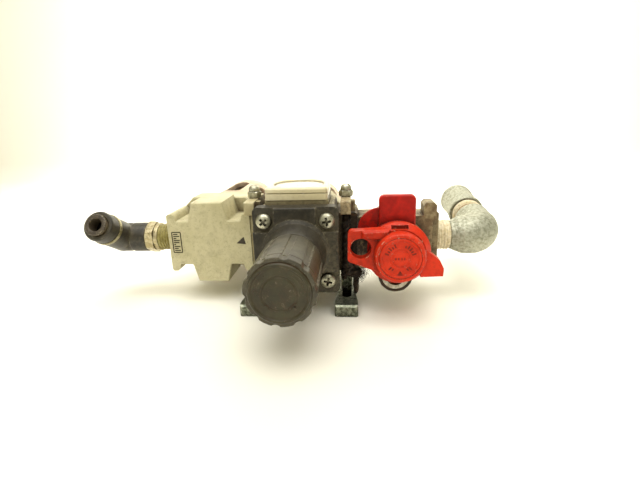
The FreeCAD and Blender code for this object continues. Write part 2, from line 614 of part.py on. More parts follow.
def lockout_spool():
    lands = turned([(0, -8.0), (7.6, -8.0), (7.94, -7.6), (7.94, -4.6), (6.6, -4.6), (6.6, -3.2),
                    (7.94, -3.2), (7.94, -1.4), (3.0, 0.0), (3.0, 6.0), (7.0, 7.2), (7.0, 8.6),
                    (5.6, 8.6), (5.6, 10.0), (7.0, 10.0), (7.0, 11.6), (0, 11.6)],
                   vec(LOCK_AXIS_X, 0, 0), Y)
    return lands


# ---- pipe fittings -------------------------------------------------------

def supply_frame():
    """Corner of the galvanised elbow and the direction of the run that leaves it."""
    angle = math.radians(SUPPLY_RAISE)
    return vec(STREET_X, 0, 0), vec(0, math.cos(angle), math.sin(angle))


def street_elbow():
    """Galvanised elbow: male thread into the valve, female mouth away from it."""
    corner, way = supply_frame()
    male = turned([(0, 0), (PORT_THREAD_R - 0.3, 0), (PORT_THREAD_R, 0.8), (PORT_THREAD_R, 18.0),
                   (7.2, 18.8), (8.2, 24.0), (9.2, 29.0), (9.2, STREET_X - 52.4), (0, STREET_X - 52.4)],
                  vec(52.4, 0, 0), X)
    ball = Part.makeSphere(9.7, corner)
    female = turned([(0, 0), (9.6, 0), (9.3, 8.0), (8.7, 12.0), (8.9, 15.0), (9.0, MOUTH_END - 0.6),
                     (8.5, MOUTH_END), (0, MOUTH_END)], corner, way)
    bore = turned([(0, 0), (PASSAGE_R, 0), (PASSAGE_R, 7.4), (PORT_HOLE_R, 8.0), (PORT_HOLE_R, MOUTH_END + 1),
                   (0, MOUTH_END + 1)], corner, way)
    body = fuse(male, ball, female)
    return cut(body, bore, rod(PASSAGE_R, vec(52, 0, 0), X, STREET_X - 52), Part.makeSphere(PASSAGE_R, corner))


def pipe_nipple():
    corner, way = supply_frame()
    return turned([(PASSAGE_R, 8.6), (PORT_THREAD_R, 8.6), (PORT_THREAD_R, 40.0), (PASSAGE_R, 40.0)], corner, way)


def pipe_coupling():
    corner, way = supply_frame()
    start, end = COUPLING
    return turned([(PORT_HOLE_R, start), (8.7, start), (9.2, start + 0.6), (9.2, start + 3.6), (8.7, start + 4.8),
                   (8.7, end - 4.8), (9.2, end - 3.6), (9.2, end - 0.6), (8.8, end), (PORT_HOLE_R, end),
                   (PORT_HOLE_R, 43.6), (5.7, 42.8), (5.7, 41.2), (PORT_HOLE_R, 40.4)], corner, way)


def fitting_stud():
    """Plated hexagon, its sealed thread and the journal that the elbow turns on."""
    hexagon_bar = hexagon(14.0, (-78.0, 0, 0), 4.0)
    thread = turned([(0, 0), (PORT_THREAD_R - 0.3, 0), (PORT_THREAD_R, 0.9), (PORT_THREAD_R, 21.4), (0, 21.4)],
                    vec(-52.8, 0, 0), X * -1)
    ring = turned([(0, 0), (6.8, 0), (7.0, 0.4), (7.0, 1.9), (6.8, 2.3), (0, 2.3)], vec(-74.1, 0, 0), X)
    journal = turned([(0, 0), (4.9, 0), (4.9, 9.9), (0, 9.9)], vec(-77.9, 0, 0), X * -1)
    return cut(fuse(hexagon_bar, thread, ring, journal), rod(2.4, vec(-90, 0, 0), X, 40))


def elbow_frame():
    """Corner of the push-in elbow and the direction of its tube leg."""
    angle = math.radians(ELBOW_RAISE)
    return vec(ELBOW_X, 0, 0), vec(0, -math.cos(angle), math.sin(angle))


LEG_END = 22.8            # from the corner to the end face of the tube leg
TUBE_R = 3.02             # bore of the release bushing, for a 6 mm tube


def elbow_fitting():
    corner, way = elbow_frame()
    swivel = turned([(0, 0), (6.9, 0), (7.3, 0.5), (7.3, 7.4), (6.6, 8.0), (6.6, 8.8), (7.2, 9.6),
                     (7.2, ELBOW_X * -1 - 78.4), (0, ELBOW_X * -1 - 78.4)], vec(-78.4, 0, 0), X * -1)
    knuckle = Part.makeSphere(7.3, corner)
    leg = turned([(0, 0), (7.2, 0), (7.2, 14.2), (6.8, 14.5), (6.2, 14.6), (6.2, 16.6), (7.1, 16.8), (7.1, 22.0),
                  (6.6, LEG_END), (0, LEG_END)], corner, way)
    body = fuse(swivel, knuckle, leg)
    socket = turned([(0, 9.0), (TUBE_R + 0.1, 9.0), (TUBE_R + 0.1, 13.0), (5.2, 13.0), (5.2, 17.0),
                     (4.4, 17.0), (4.4, 21.0), (5.3, 22.0), (5.3, 24), (0, 24)], corner, way)
    journal = rod(4.95, vec(-78.3, 0, 0), X * -1, 9.9)
    return cut(body, socket, journal, rod(2.4, corner, way, 12), rod(2.4, vec(-78, 0, 0), X * -1, 14.3))


def elbow_ring():
    corner, way = elbow_frame()
    return turned([(6.25, 14.65), (7.3, 14.65), (7.5, 15.0), (7.5, 16.2), (7.3, 16.55), (6.25, 16.55)],
                  corner, way)


def release_bushing():
    corner, way = elbow_frame()
    return turned([(TUBE_R, 18.4), (4.3, 18.4), (4.3, 23.4), (5.2, 23.8), (5.2, 24.6), (4.8, 25.0),
                   (TUBE_R + 0.15, 25.0), (TUBE_R, 24.85)], corner, way)


def tube_seal():
    corner, way = elbow_frame()
    return turned([(TUBE_R + 0.02, 13.4), (5.1, 13.4), (5.1, 15.8), (TUBE_R + 0.4, 15.8)], corner, way)


# ---- write every piece ---------------------------------------------------

save("filter_head", filter_head())
save("regulator_body", regulator_body())
for prefix, middle, button_side in (("filter", FILTER_X, -1), ("regulator", 0.0, 1)):
    for name, solid in bowl_pieces(middle, button_side).items():
        save(f"{prefix}_{name}", solid)

save("bonnet", bonnet())
save("bonnet_screws", *[pan_screw(x, z, BONNET_Y[0] + 2.0) for x, z in bonnet_corners()])
save("adjusting_knob", adjusting_knob())
save("knob_cap", knob_cap())
save("adjusting_screw", adjusting_screw())
save("spring_seat", spring_seat())
save("adjusting_spring", coil(7.3, 0.8, -30.9, 10.2, 3))
save("diaphragm", diaphragm())
save("valve_stem", valve_stem())
save("valve_spring", valve_spring())

save("gauge_case", gauge_case())
save("gauge_cover", gauge_cover())
save("gauge_lens", rod(11.5, vec(0, GAUGE_Y, GAUGE_Z[1] - 1.55), Z, 0.9))
save("gauge_dial", rod(11.1, vec(0, GAUGE_Y, GAUGE_Z[1] - 3.2), Z, 0.5).cut(
    rod(0.6, vec(0, GAUGE_Y, GAUGE_Z[0]), Z, 4)))
save("gauge_pointer", gauge_pointer())

for name, side in (("left", -1), ("right", 1)):
    save(f"spacer_{name}", spacer(side))
    save(f"clamp_{name}", clamp(side))
    save(f"bracket_{name}", bracket(side))
save("spacer_seals", *spacer_seals(-1), *spacer_seals(1))
save("clamp_screws", clamp_screw(-1), clamp_screw(1))
save("clamp_nuts", clamp_nut(-1), clamp_nut(1))
save("bracket_screws", bracket_screw(-1), bracket_screw(1))

save("lockout_body", lockout_body())
save("lockout_housing", lockout_housing())
save("housing_screws", housing_screw(-1), housing_screw(1))
save("lockout_knob", lockout_knob())
save("lockout_knob_cap", lockout_knob_cap())
save("lockout_spool", lockout_spool())

save("street_elbow", street_elbow())
save("pipe_nipple", pipe_nipple())
save("pipe_coupling", pipe_coupling())
save("fitting_stud", fitting_stud())
save("elbow_fitting", elbow_fitting())
save("elbow_ring", elbow_ring())
save("release_bushing", release_bushing())
save("tube_seal", tube_seal())
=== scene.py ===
# %% [markdown]
# # A used air-preparation row
# This lesson dresses a row of three compressed-air units that lies on its two
# brackets: a filter, a regulator with a knob and a gauge, and a red lock-out
# valve, with pipe fittings at both ends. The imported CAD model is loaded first
# and stays as it is. Every new piece is worked out in the same metres and the
# same axes, so it lands on the CAD without any fitting.

# %% Load the frame
import json
import math

import bmesh
import bpy
import numpy as np
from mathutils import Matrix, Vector


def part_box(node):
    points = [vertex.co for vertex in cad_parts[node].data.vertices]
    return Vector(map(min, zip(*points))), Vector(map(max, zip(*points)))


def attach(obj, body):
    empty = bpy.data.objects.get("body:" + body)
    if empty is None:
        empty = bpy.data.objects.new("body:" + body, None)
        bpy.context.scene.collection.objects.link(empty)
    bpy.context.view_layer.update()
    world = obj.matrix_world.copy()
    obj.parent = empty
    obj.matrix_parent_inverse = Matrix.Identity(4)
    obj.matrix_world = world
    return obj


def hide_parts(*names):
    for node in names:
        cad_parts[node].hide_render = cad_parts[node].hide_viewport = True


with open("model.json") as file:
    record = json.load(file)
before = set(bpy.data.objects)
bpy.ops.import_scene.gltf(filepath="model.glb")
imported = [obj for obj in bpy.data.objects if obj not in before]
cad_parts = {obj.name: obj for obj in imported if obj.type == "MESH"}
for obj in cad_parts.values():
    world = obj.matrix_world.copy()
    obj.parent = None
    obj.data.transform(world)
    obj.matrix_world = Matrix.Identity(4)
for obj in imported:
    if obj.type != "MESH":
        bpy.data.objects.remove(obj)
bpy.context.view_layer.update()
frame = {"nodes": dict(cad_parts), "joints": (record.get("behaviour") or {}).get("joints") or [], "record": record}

# %% [markdown]
# ## Reference places
# The joints and mounts in the record already hold the axes that matter, such
# as the knob's axis and the lock-out knob's axis. Reading them from the record
# keeps this script right if the CAD is ever moved.

# %% Axes and places from the record
MM = 0.001
JOINT = {joint["name"]: joint for joint in frame["joints"]}
MOUNT = {mount["name"]: mount for mount in frame["record"]["mounts"]}
PORT_Z = JOINT["screw_turn"]["pos_m"][2]
FILTER_X = JOINT["filter_bowl_twist"]["pos_m"][0] / MM
LOCK_X = JOINT["lockout_turn"]["pos_m"][0] / MM
SUPPLY_WAY = np.array(MOUNT["supply_port"]["axis"])
ELBOW_CORNER = np.array(JOINT["elbow_swivel"]["pos_m"])
LEG_WAY = np.array(MOUNT["tube_port"]["axis"])
RIGHT, BACK, UP = np.eye(3)


def at(x, y, z):
    """Point in metres, from millimetres counted from the port axis."""
    return np.array([x, y, z]) * MM + np.array([0.0, 0.0, PORT_Z])


print("port axis", round(PORT_Z / MM, 1), "mm above the mounting plane")

# %% [markdown]
# ## Turning numbers into meshes
# A mesh is a list of points and a list of faces. Here the points always come
# from a grid: one direction runs along a profile, the other runs round it. The
# whole grid is one array, so no loop visits single points. Points that fall
# together, as at the tip of a dome, are merged so that the skin is closed.

# %% Mesh helpers
SHARP = math.radians(38)


def shaded(mesh, angle=SHARP):
    """Smooth shading that keeps the edges steeper than angle crisp."""
    mesh.shade_smooth()
    mesh.set_sharp_from_angle(angle=angle)
    return mesh


def linked(name, data):
    """New object in the scene with this mesh, lamp or camera."""
    made = bpy.data.objects.new(name, data)
    bpy.context.scene.collection.objects.link(made)
    return made


def piece(name, points, faces, angle=SHARP):
    """New object from arrays of points in metres and of faces, made closed and facing out."""
    mesh = bpy.data.meshes.new(name)
    mesh.from_pydata(np.asarray(points).tolist(), [], [list(face) for face in faces])
    shell = bmesh.new()
    shell.from_mesh(mesh)
    bmesh.ops.remove_doubles(shell, verts=shell.verts, dist=2e-7)
    bmesh.ops.recalc_face_normals(shell, faces=shell.faces)
    shell.to_mesh(mesh)
    shell.free()
    return linked(name, shaded(mesh, angle))


def grid_faces(rows, columns, first=0):
    """Quads between the rows of a grid whose columns close into a ring."""
    row = np.arange(rows - 1)[:, None] * columns + first
    here = np.arange(columns)[None, :]
    beside = (here + 1) % columns
    quads = [row + here, row + beside, row + columns + beside, row + columns + here]
    return np.stack(quads, -1).reshape(-1, 4)


def across(axis):
    """Two unit directions square to axis, which with it form a right-handed set."""
    axis = np.asarray(axis, float) / np.linalg.norm(axis)
    helper = UP if abs(axis[2]) < 0.9 else RIGHT
    first = np.cross(helper, axis)
    first /= np.linalg.norm(first)
    return first, np.cross(axis, first), axis


def soft(points, radius, closed=True, steps=4):
    """A line of corner points with each corner eased.

    Near a corner P the line follows the parabola (1-t)^2 A + 2t(1-t) P + t^2 B,
    where A and B lie on its two runs, radius away or 0.42 of the run if that is
    less. One more point just before A and after B keeps the flats flat."""
    p = np.asarray(points, float)
    run_in, run_out = np.roll(p, 1, 0) - p, np.roll(p, -1, 0) - p
    size_in = np.linalg.norm(run_in, axis=1, keepdims=True) + 1e-12
    size_out = np.linalg.norm(run_out, axis=1, keepdims=True) + 1e-12
    radius = np.broadcast_to(np.asarray(radius, float), (len(p),))[:, None]
    reach_in, reach_out = np.minimum(radius, 0.42 * size_in), np.minimum(radius, 0.42 * size_out)
    a, b = p + run_in / size_in * reach_in, p + run_out / size_out * reach_out
    t = np.linspace(0, 1, steps)[None, :, None]
    arc = (1 - t) ** 2 * a[:, None] + 2 * t * (1 - t) * p[:, None] + t ** 2 * b[:, None]
    before, after = p + run_in / size_in * reach_in * 1.15, p + run_out / size_out * reach_out * 1.15
    arc = np.concatenate([before[:, None], arc, after[:, None]], 1)
    if closed:
        return arc.reshape(-1, p.shape[1])
    return np.vstack([p[:1], arc[1:-1].reshape(-1, p.shape[1]), p[-1:]])


def turned(name, profile, start, axis, sides=96, shape=None, closed=False):
    """Surface of revolution about axis.

    Each profile point (r, h) in millimetres gives the ring
    start + h axis + r (cos t u + sin t v). shape(r, h, t) may change r round
    the ring, which makes flutes, lobes and threads."""
    u, v, axis = across(axis)
    r, h = np.asarray(profile, float).T
    t = np.linspace(0, 2 * np.pi, sides, endpoint=False)
    radius = np.repeat(r[:, None], sides, 1)
    height = np.repeat(h[:, None], sides, 1)
    if shape is not None:
        radius = shape(radius, height, np.broadcast_to(t, radius.shape))
    ring = np.cos(t)[:, None] * u + np.sin(t)[:, None] * v
    points = start + (height[..., None] * axis + radius[..., None] * ring[None]) * MM
    rows = len(profile)
    faces = grid_faces(rows, sides)
    if closed:
        last = grid_faces(2, sides)
        last = np.where(last >= sides, last - sides, last + (rows - 1) * sides)
        faces = np.vstack([faces, last])
    return piece(name, points.reshape(-1, 3), faces)


def inset(outline, distance):
    """Outline moved inwards: each point goes along the inward normal of its neighbours' chord."""
    chord = np.roll(outline, -1, 0) - np.roll(outline, 1, 0)
    normal = np.stack([-chord[:, 1], chord[:, 0]], 1)
    normal /= np.linalg.norm(normal, axis=1, keepdims=True) + 1e-12
    x, y = outline.T
    turning = np.sign(np.sum(x * np.roll(y, -1) - np.roll(x, -1) * y))
    return outline + turning * distance * normal


def slab(name, outline, start, first, second, depth, edge=0.4, steps=4):
    """Flat plate with eased rims: an outline in millimetres along two directions, carried depth mm.

    Ring k lies at depth edge(1 - sin a) and is inset by edge(1 - cos a), with a
    from 90 to 0 degrees at one rim and back again at the other."""
    outline = np.asarray(outline, float)
    a = np.radians(np.linspace(90, 0, steps))
    rim = np.stack([edge * (1 - np.sin(a)), edge * (1 - np.cos(a))], 1)
    rim = np.vstack([[0, edge * 1.4], rim])
    stations = np.vstack([rim, np.stack([depth - rim[::-1, 0], rim[::-1, 1]], 1)])
    normal = np.cross(first, second)
    rings = [start + (inset(outline, i) @ np.array([first, second]) + d * normal) * MM for d, i in stations]
    count = len(outline)
    faces = grid_faces(len(stations), count).tolist()
    faces += [list(range(count)), list(range((len(stations) - 1) * count, len(stations) * count))]
    return piece(name, np.vstack(rings), faces)


def swept(name, path, radii, sides=64, ripple=None):
    """Tube along a path in one plane: ring k is round path[k], square to the path, with radius radii[k].

    ripple(t, s) gives a factor for the radius round the ring and along the path."""
    path = np.asarray(path, float)
    way = np.gradient(path, axis=0)
    way /= np.linalg.norm(way, axis=1, keepdims=True)
    flat = np.cross(path[-1] - path[0], path[len(path) // 2] - path[0])
    flat = flat / np.linalg.norm(flat) if np.linalg.norm(flat) > 1e-12 else across(way[0])[0]
    side = np.cross(flat, way)
    t = np.linspace(0, 2 * np.pi, sides, endpoint=False)
    radius = np.asarray(radii, float)[:, None] * MM * np.ones(sides)
    if ripple is not None:
        radius = radius * ripple(t[None, :], np.arange(len(path))[:, None])
    ring = np.cos(t)[None, :, None] * flat + np.sin(t)[None, :, None] * side[:, None]
    points = path[:, None] + radius[..., None] * ring
    closing = np.zeros((1, sides, 3))
    points = np.concatenate([path[0] + closing, points, path[-1] + closing])
    return piece(name, points.reshape(-1, 3), grid_faces(len(points), sides))


def settle(made):
    """Makes the result of an object's modifiers its own mesh."""
    graph = bpy.context.evaluated_depsgraph_get()
    mesh = bpy.data.meshes.new_from_object(made.evaluated_get(graph))
    made.modifiers.clear()
    made.data = mesh
    return made


def carved(made, *cutters, operation="DIFFERENCE"):
    """The object less its cutters, or joined with them, with exact mesh booleans."""
    for cutter in cutters:
        step = made.modifiers.new("carve", "BOOLEAN")
        step.operation, step.object, step.solver = operation, cutter, "EXACT"
    settle(made)
    for cutter in cutters:
        bpy.data.objects.remove(cutter)
    shaded(made.data)
    return made


def eased(node, name, width=0.35, angle=40):
    """Copy of a CAD node with merged points and rounded edges, for cast and moulded shapes.

    The CAD holds the true ports, pockets and bosses; a bevel of width mm on
    every edge steeper than angle gives the soft edge of a casting."""
    mesh = frame["nodes"][node].data.copy()
    mesh.name = name
    mesh.materials.clear()
    shell = bmesh.new()
    shell.from_mesh(mesh)
    bmesh.ops.remove_doubles(shell, verts=shell.verts, dist=1e-6)
    bmesh.ops.dissolve_limit(shell, angle_limit=math.radians(0.6), verts=shell.verts, edges=shell.edges)
    shell.to_mesh(mesh)
    shell.free()
    made = linked(name, mesh)
    bevel = made.modifiers.new("ease", "BEVEL")
    bevel.width, bevel.segments = width * MM, 2
    bevel.limit_method, bevel.angle_limit = "ANGLE", math.radians(angle)
    bevel.use_clamp_overlap = True
    weigh = made.modifiers.new("flat", "WEIGHTED_NORMAL")
    weigh.keep_sharp = True
    shaded(made.data, math.radians(angle - 4))
    return settle(made)


def joined(name, parts):
    """Several objects made one, under one name."""
    with bpy.context.temp_override(active_object=parts[0], selected_editable_objects=parts):
        bpy.ops.object.join()
    parts[0].name = name
    parts[0].data.name = name
    return parts[0]


def fit(made, body, slot, material, *nodes):
    """Gives a piece its finish and its place in the assembly, and reports it."""
    made.data.materials.clear()
    made.data.materials.append(material)
    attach(made, body)
    if nodes:
        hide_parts(*nodes)
    print(f"{made.name}: {len(made.data.polygons)} faces on {body}")
    return made


print("mesh helpers ready")

# %% [markdown]
# ## Material helper
# A node material is a small graph. One function adds a node of any kind with
# its settings and its inputs, so that each material below reads as a list of
# what it is made of. Colours are written as the hex values of a paint chart
# and turned to the linear values that the renderer counts in.

# %% Nodes, colours and the layered finish


def linear(hex_colour):
    """sRGB hex to linear RGBA: c/12.92 below 0.04045, else ((c + 0.055)/1.055)^2.4."""
    c = np.array([int(hex_colour[i:i + 2], 16) for i in (1, 3, 5)]) / 255
    c = np.where(c < 0.04045, c / 12.92, ((c + 0.055) / 1.055) ** 2.4)
    return (*c, 1.0)


def add(tree, kind, inputs=None, **settings):
    """Adds a shader node; an input given as a socket is linked, any other value is set."""
    made = tree.nodes.new(kind)
    for key, value in settings.items():
        setattr(made, key, value)
    for key, value in (inputs or {}).items():
        socket = made.inputs[key]
        if isinstance(value, bpy.types.NodeSocket):
            tree.links.new(value, socket)
        else:
            socket.default_value = value
    return made


def per_mm(size):
    """Texture scale that repeats a pattern about every size millimetres."""
    return 1.0 / (size * MM)


def noise(tree, place, size, detail, rough=0.5):
    """Cloudy values round 0.5 that change about every size millimetres."""
    return add(tree, "ShaderNodeTexNoise", {"Vector": place, "Scale": per_mm(size), "Detail": detail,
                                            "Roughness": rough}).outputs["Fac"]


def ramp(tree, value, low, high):
    """A value spread from 0 at low to 1 at high, held at the ends."""
    made = add(tree, "ShaderNodeMapRange", {"Value": value, "From Min": low, "From Max": high},
               interpolation_type="SMOOTHSTEP")
    return made.outputs["Result"]


def blend_colour(tree, amount, under, over):
    """Two colours mixed: under where amount is 0, over where it is 1."""
    made = add(tree, "ShaderNodeMix", {0: amount, 6: under, 7: over}, data_type="RGBA")
    return made.outputs[2]


def times(tree, a, b, operation="MULTIPLY"):
    """The product of two values, or another operation on them, held between 0 and 1."""
    made = add(tree, "ShaderNodeMath", {0: a, 1: b}, operation=operation, use_clamp=True)
    return made.outputs[0]


GREASE_AT = tuple(at(25.0, -12, -3))      # where oil has leaked and caught dust


def layered(name, colour, shade, patch=14.0, rough=0.5, rough_shade=0.12, metal=0.0,
            grain=0.5, grain_depth=0.02, dirt_and_shade="#4a4030", dirt_and_shade_amount=0.35, dirt_size=2.5,
            specks=0.0, speck_size=0.5, chip=None, chip_amount=0.0, chip_metal=0.0,
            oil=0.6, scratches=0.0, coat=0.0, reach=4.5, shine=0.5):
    """A finish in layers, from the bottom up: the base in two tones, dirt in blotches and, through an
    occlusion mask, in the corners, small dark specks, oil near the leak, and the bare material where
    edges are rubbed. Where the dirt colour is darker than the base, the corner layer is painted shade.
    Sizes are millimetres."""
    made = bpy.data.materials.new(name)
    made.use_nodes = True
    tree = made.node_tree
    tree.nodes.clear()
    place = add(tree, "ShaderNodeTexCoord").outputs["Object"]
    patches = noise(tree, place, patch, 6.0, 0.6)
    fine = noise(tree, place, grain, 3.0, 0.55)
    blot = noise(tree, place, dirt_size, 8.0, 0.68)
    tone = blend_colour(tree, ramp(tree, patches, 0.38, 0.64), linear(colour), linear(shade))
    # Painted shade: the dirt colour is laid in corners, recesses and gaps that the occlusion node finds blocked
    # within reach mm. On dark plastics with a pale dust colour it is dust instead.
    corner = add(tree, "ShaderNodeAmbientOcclusion", {"Distance": reach * MM}, samples=4).outputs["AO"]
    corner_dirt_and_shade = times(tree, 1.0, ramp(tree, corner, 0.30, 0.92), "SUBTRACT")
    dirt_and_shade_mask = times(tree, ramp(tree, blot, 0.44, 0.72), dirt_and_shade_amount * 0.55)
    dirt_and_shade_mask = times(tree, dirt_and_shade_mask, times(tree, corner_dirt_and_shade, min(1.0, dirt_and_shade_amount * 2.0)), "ADD")
    near = add(tree, "ShaderNodeVectorMath", {0: place, 1: GREASE_AT},
               operation="DISTANCE").outputs["Value"]
    leak = times(tree, ramp(tree, near, 34 * MM, 8 * MM), ramp(tree, blot, 0.34, 0.62))
    dirt_and_shade_mask = times(tree, dirt_and_shade_mask, times(tree, leak, oil), "ADD")
    tone = blend_colour(tree, dirt_and_shade_mask, tone, linear(dirt_and_shade))
    roughness = add(tree, "ShaderNodeMapRange", {"Value": patches, "To Min": rough - rough_shade,
                                                 "To Max": rough + rough_shade}).outputs["Result"]
    if specks:
        dots = times(tree, ramp(tree, noise(tree, place, speck_size, 2.0, 0.8), 0.64, 0.70), specks)
        tone = blend_colour(tree, dots, tone, linear("#2c261c"))
    metallic = metal
    if chip_amount:
        eased_normal = add(tree, "ShaderNodeBevel", {"Radius": 0.7 * MM}, samples=4).outputs["Normal"]
        true_normal = add(tree, "ShaderNodeNewGeometry").outputs["Normal"]
        edge = add(tree, "ShaderNodeVectorMath", {0: eased_normal, 1: true_normal},
                   operation="DOT_PRODUCT").outputs["Value"]
        rubbed = times(tree, ramp(tree, edge, 0.985, 0.90),
                       ramp(tree, blot, 0.62 - 0.3 * chip_amount, 0.66))
        spots = times(tree, ramp(tree, fine, 0.73, 0.76), chip_amount * 0.5)
        bare = times(tree, rubbed, spots, "ADD")
        tone = blend_colour(tree, bare, tone, linear(chip))
        if chip_metal != metal:
            metallic = add(tree, "ShaderNodeMapRange", {"Value": bare, "To Min": metal,
                                                        "To Max": chip_metal}).outputs["Result"]
    bump = add(tree, "ShaderNodeBump", {"Height": fine, "Distance": grain_depth * MM, "Strength": 1.0})
    if scratches:
        lines = add(tree, "ShaderNodeMapping", {"Vector": place, "Rotation": (0.4, 0.3, 0.5),
                                                "Scale": (per_mm(9), per_mm(0.35), per_mm(9))})
        marks = add(tree, "ShaderNodeTexNoise", {"Vector": lines.outputs["Vector"], "Scale": 1.0,
                                                 "Detail": 2.0}).outputs["Fac"]
        bump = add(tree, "ShaderNodeBump", {"Height": ramp(tree, marks, 0.60, 0.72),
                                            "Normal": bump.outputs["Normal"],
                                            "Distance": -scratches * MM, "Strength": 1.0})
    roughness = times(tree, roughness, times(tree, dirt_and_shade_mask, 0.18), "ADD")
    shader = add(tree, "ShaderNodeBsdfPrincipled", {"Base Color": tone, "Roughness": roughness,
                                                    "Metallic": metallic, "Normal": bump.outputs["Normal"],
                                                    "Coat Weight": coat, "Coat Roughness": 0.25,
                                                    "Specular IOR Level": shine})
    out = add(tree, "ShaderNodeOutputMaterial")
    tree.links.new(shader.outputs["BSDF"], out.inputs["Surface"])
    return made


print("material helpers ready")

# %% [markdown]
# ## Paint and cast metal
# The unit bodies are pressure die-cast aluminium under a khaki-beige stoving
# enamel. Enamel flows a little before it bakes, so its surface has a very low,
# broad ripple and a satin gloss. Years of oil mist leave brown blotches and
# pepper-like specks on the flats, and knocks at the edges show grey aluminium.
# The brown is also laid in the corners where light is blocked: painted shade.

# %% Enamels
head_enamel = layered("stoving_enamel_filter_head", "#ccc4a0", "#bfb791", patch=18, rough=0.48, grain=0.55,
                      grain_depth=0.05, dirt_and_shade="#4a3c26", dirt_and_shade_amount=0.42, dirt_size=2.6, specks=0.85,
                      speck_size=0.42, chip="#e9e4cf", chip_amount=0.22, oil=0.3, reach=6.0, shine=0.35)
body_enamel = layered("stoving_enamel_regulator_body", "#c1b78f", "#ab9e76", patch=12, grain=0.55,
                      grain_depth=0.05, dirt_and_shade="#42331f", dirt_and_shade_amount=0.7, dirt_size=2.4, specks=0.9,
                      speck_size=0.45, chip="#8d8c88", chip_amount=0.2, chip_metal=0.9, reach=6.0)
# A darker, dirtier copy of the body enamel: real soil, and also painted shade on the valve body's front.
valve_enamel = layered("stoving_enamel_soiled_and_shaded_valve", "#9f906a", "#735e40", patch=5, rough=0.55,
                       grain_depth=0.07, dirt_and_shade="#33261a", dirt_and_shade_amount=1.0, dirt_size=1.6, specks=0.95,
                       chip="#94918a", chip_amount=0.25, chip_metal=0.9, oil=1.0, reach=7.0)
jaw_enamel = layered("stoving_enamel_clamp_jaw", "#bdb08a", "#97805b", patch=4, rough=0.55,
                     grain_depth=0.06, dirt_and_shade="#3c2c1b", dirt_and_shade_amount=0.75, dirt_size=1.6, specks=0.85,
                     chip="#8d8c88", chip_amount=0.3, chip_metal=0.9, reach=5.0)
guard_paint = layered("baked_paint_on_steel_guard", "#d2bda2", "#c2a98c", patch=16, grain=0.6,
                      grain_depth=0.03, dirt_and_shade="#5a4230", dirt_and_shade_amount=0.4, dirt_size=3.0, specks=0.5,
                      chip="#7d7a76", chip_amount=0.2, chip_metal=0.9, oil=0.2, reach=6.0)
print("five enamels")

# %% [markdown]
# ## Moulded plastics
# Glass-filled nylon is black to charcoal and never quite smooth: short glass
# fibres at the skin give it a fine, dry grain, and handling polishes the high
# spots. Acetal, used for the red lock-out parts, is waxy and even, and chips
# show paler. ABS, used for the gauge case, is smooth and yellows with age.

# %% Plastics
bonnet_nylon = layered("glass_filled_nylon_bonnet", "#332f26", "#221e16", patch=5, grain=0.45,
                       grain_depth=0.09, dirt_and_shade="#6a624c", dirt_and_shade_amount=0.32, dirt_size=1.2, specks=0.5,
                       chip="#9a9380", chip_amount=0.42, oil=0.7, shine=0.4)
knob_nylon = layered("glass_filled_nylon_knob", "#47412f", "#353025", patch=7, rough=0.4, grain=0.45,
                     grain_depth=0.05, dirt_and_shade="#7c745c", dirt_and_shade_amount=0.25, dirt_size=1.8, specks=0.35,
                     chip="#9b947f", chip_amount=0.35, oil=0.0)
cap_nylon = layered("moulded_nylon_knob_cap", "#3b3722", "#2f2b1b", patch=8, rough=0.42, grain_depth=0.05,
                    dirt_and_shade="#63382a", dirt_and_shade_amount=0.22, dirt_size=2.4, specks=0.3, chip="#8b846e",
                    chip_amount=0.25, oil=0.0, shine=0.4)
button_plastic = layered("moulded_nylon_button", "#1d1c1a", "#141311", patch=3, grain=0.4, dirt_and_shade="#5c5546",
                         dirt_and_shade_amount=0.4)
drain_plastic = layered("moulded_nylon_drain", "#232220", "#191816", patch=4, grain=0.4, dirt_and_shade="#5c5546",
                        dirt_and_shade_amount=0.4)
red_acetal = layered("moulded_acetal_red", "#d93414", "#c42a0c", patch=9, rough=0.42, grain=0.7,
                     grain_depth=0.03, dirt_and_shade="#5c1e12", dirt_and_shade_amount=0.42, dirt_size=1.8, specks=0.5,
                     chip="#e7b49a", chip_amount=0.34, oil=0.35, shine=0.22, reach=3.0)
grimed_red = layered("grimed_acetal_marks", "#8c2c1a", "#5e2417", patch=1.2, rough=0.6, grain=0.4,
                     dirt_and_shade="#2e1710", dirt_and_shade_amount=0.8, dirt_size=0.8, oil=0.3, shine=0.2)
red_housing = layered("moulded_acetal_dull_red", "#c21708", "#a51005", patch=7, rough=0.45, grain=0.7,
                      grain_depth=0.03, dirt_and_shade="#3e110a", dirt_and_shade_amount=0.5, dirt_size=1.8, specks=0.5,
                      chip="#e2553c", chip_amount=0.4, oil=0.5, shine=0.25)
gauge_abs = layered("moulded_abs_gauge", "#ddd3b2", "#d2c69f", patch=16, rough=0.3, grain=1.6,
                    grain_depth=0.01, dirt_and_shade="#8c7b55", dirt_size=3.0, specks=0.25, chip="#efe8d2",
                    chip_amount=0.1, oil=0.1)
elbow_pbt = layered("moulded_pbt_elbow", "#343028", "#27231c", patch=6, rough=0.42, grain=0.6,
                    grain_depth=0.05, dirt_and_shade="#7d745c", dirt_size=1.6, specks=0.35, chip="#8d8674",
                    chip_amount=0.3, oil=0.0)
bushing_acetal = layered("moulded_acetal_bushing", "#463d31", "#332b22", patch=2, rough=0.42,
                         grain_depth=0.06, dirt_and_shade="#8a7c64", dirt_and_shade_amount=0.5, dirt_size=0.8, chip="#a59a84",
                         chip_amount=0.4, oil=0.0)
inner_acetal = layered("moulded_acetal_white", "#dedbd0", "#d2cdbd", patch=6, rough=0.4, dirt_and_shade="#7a6c48",
                       dirt_and_shade_amount=0.4, oil=0.0)
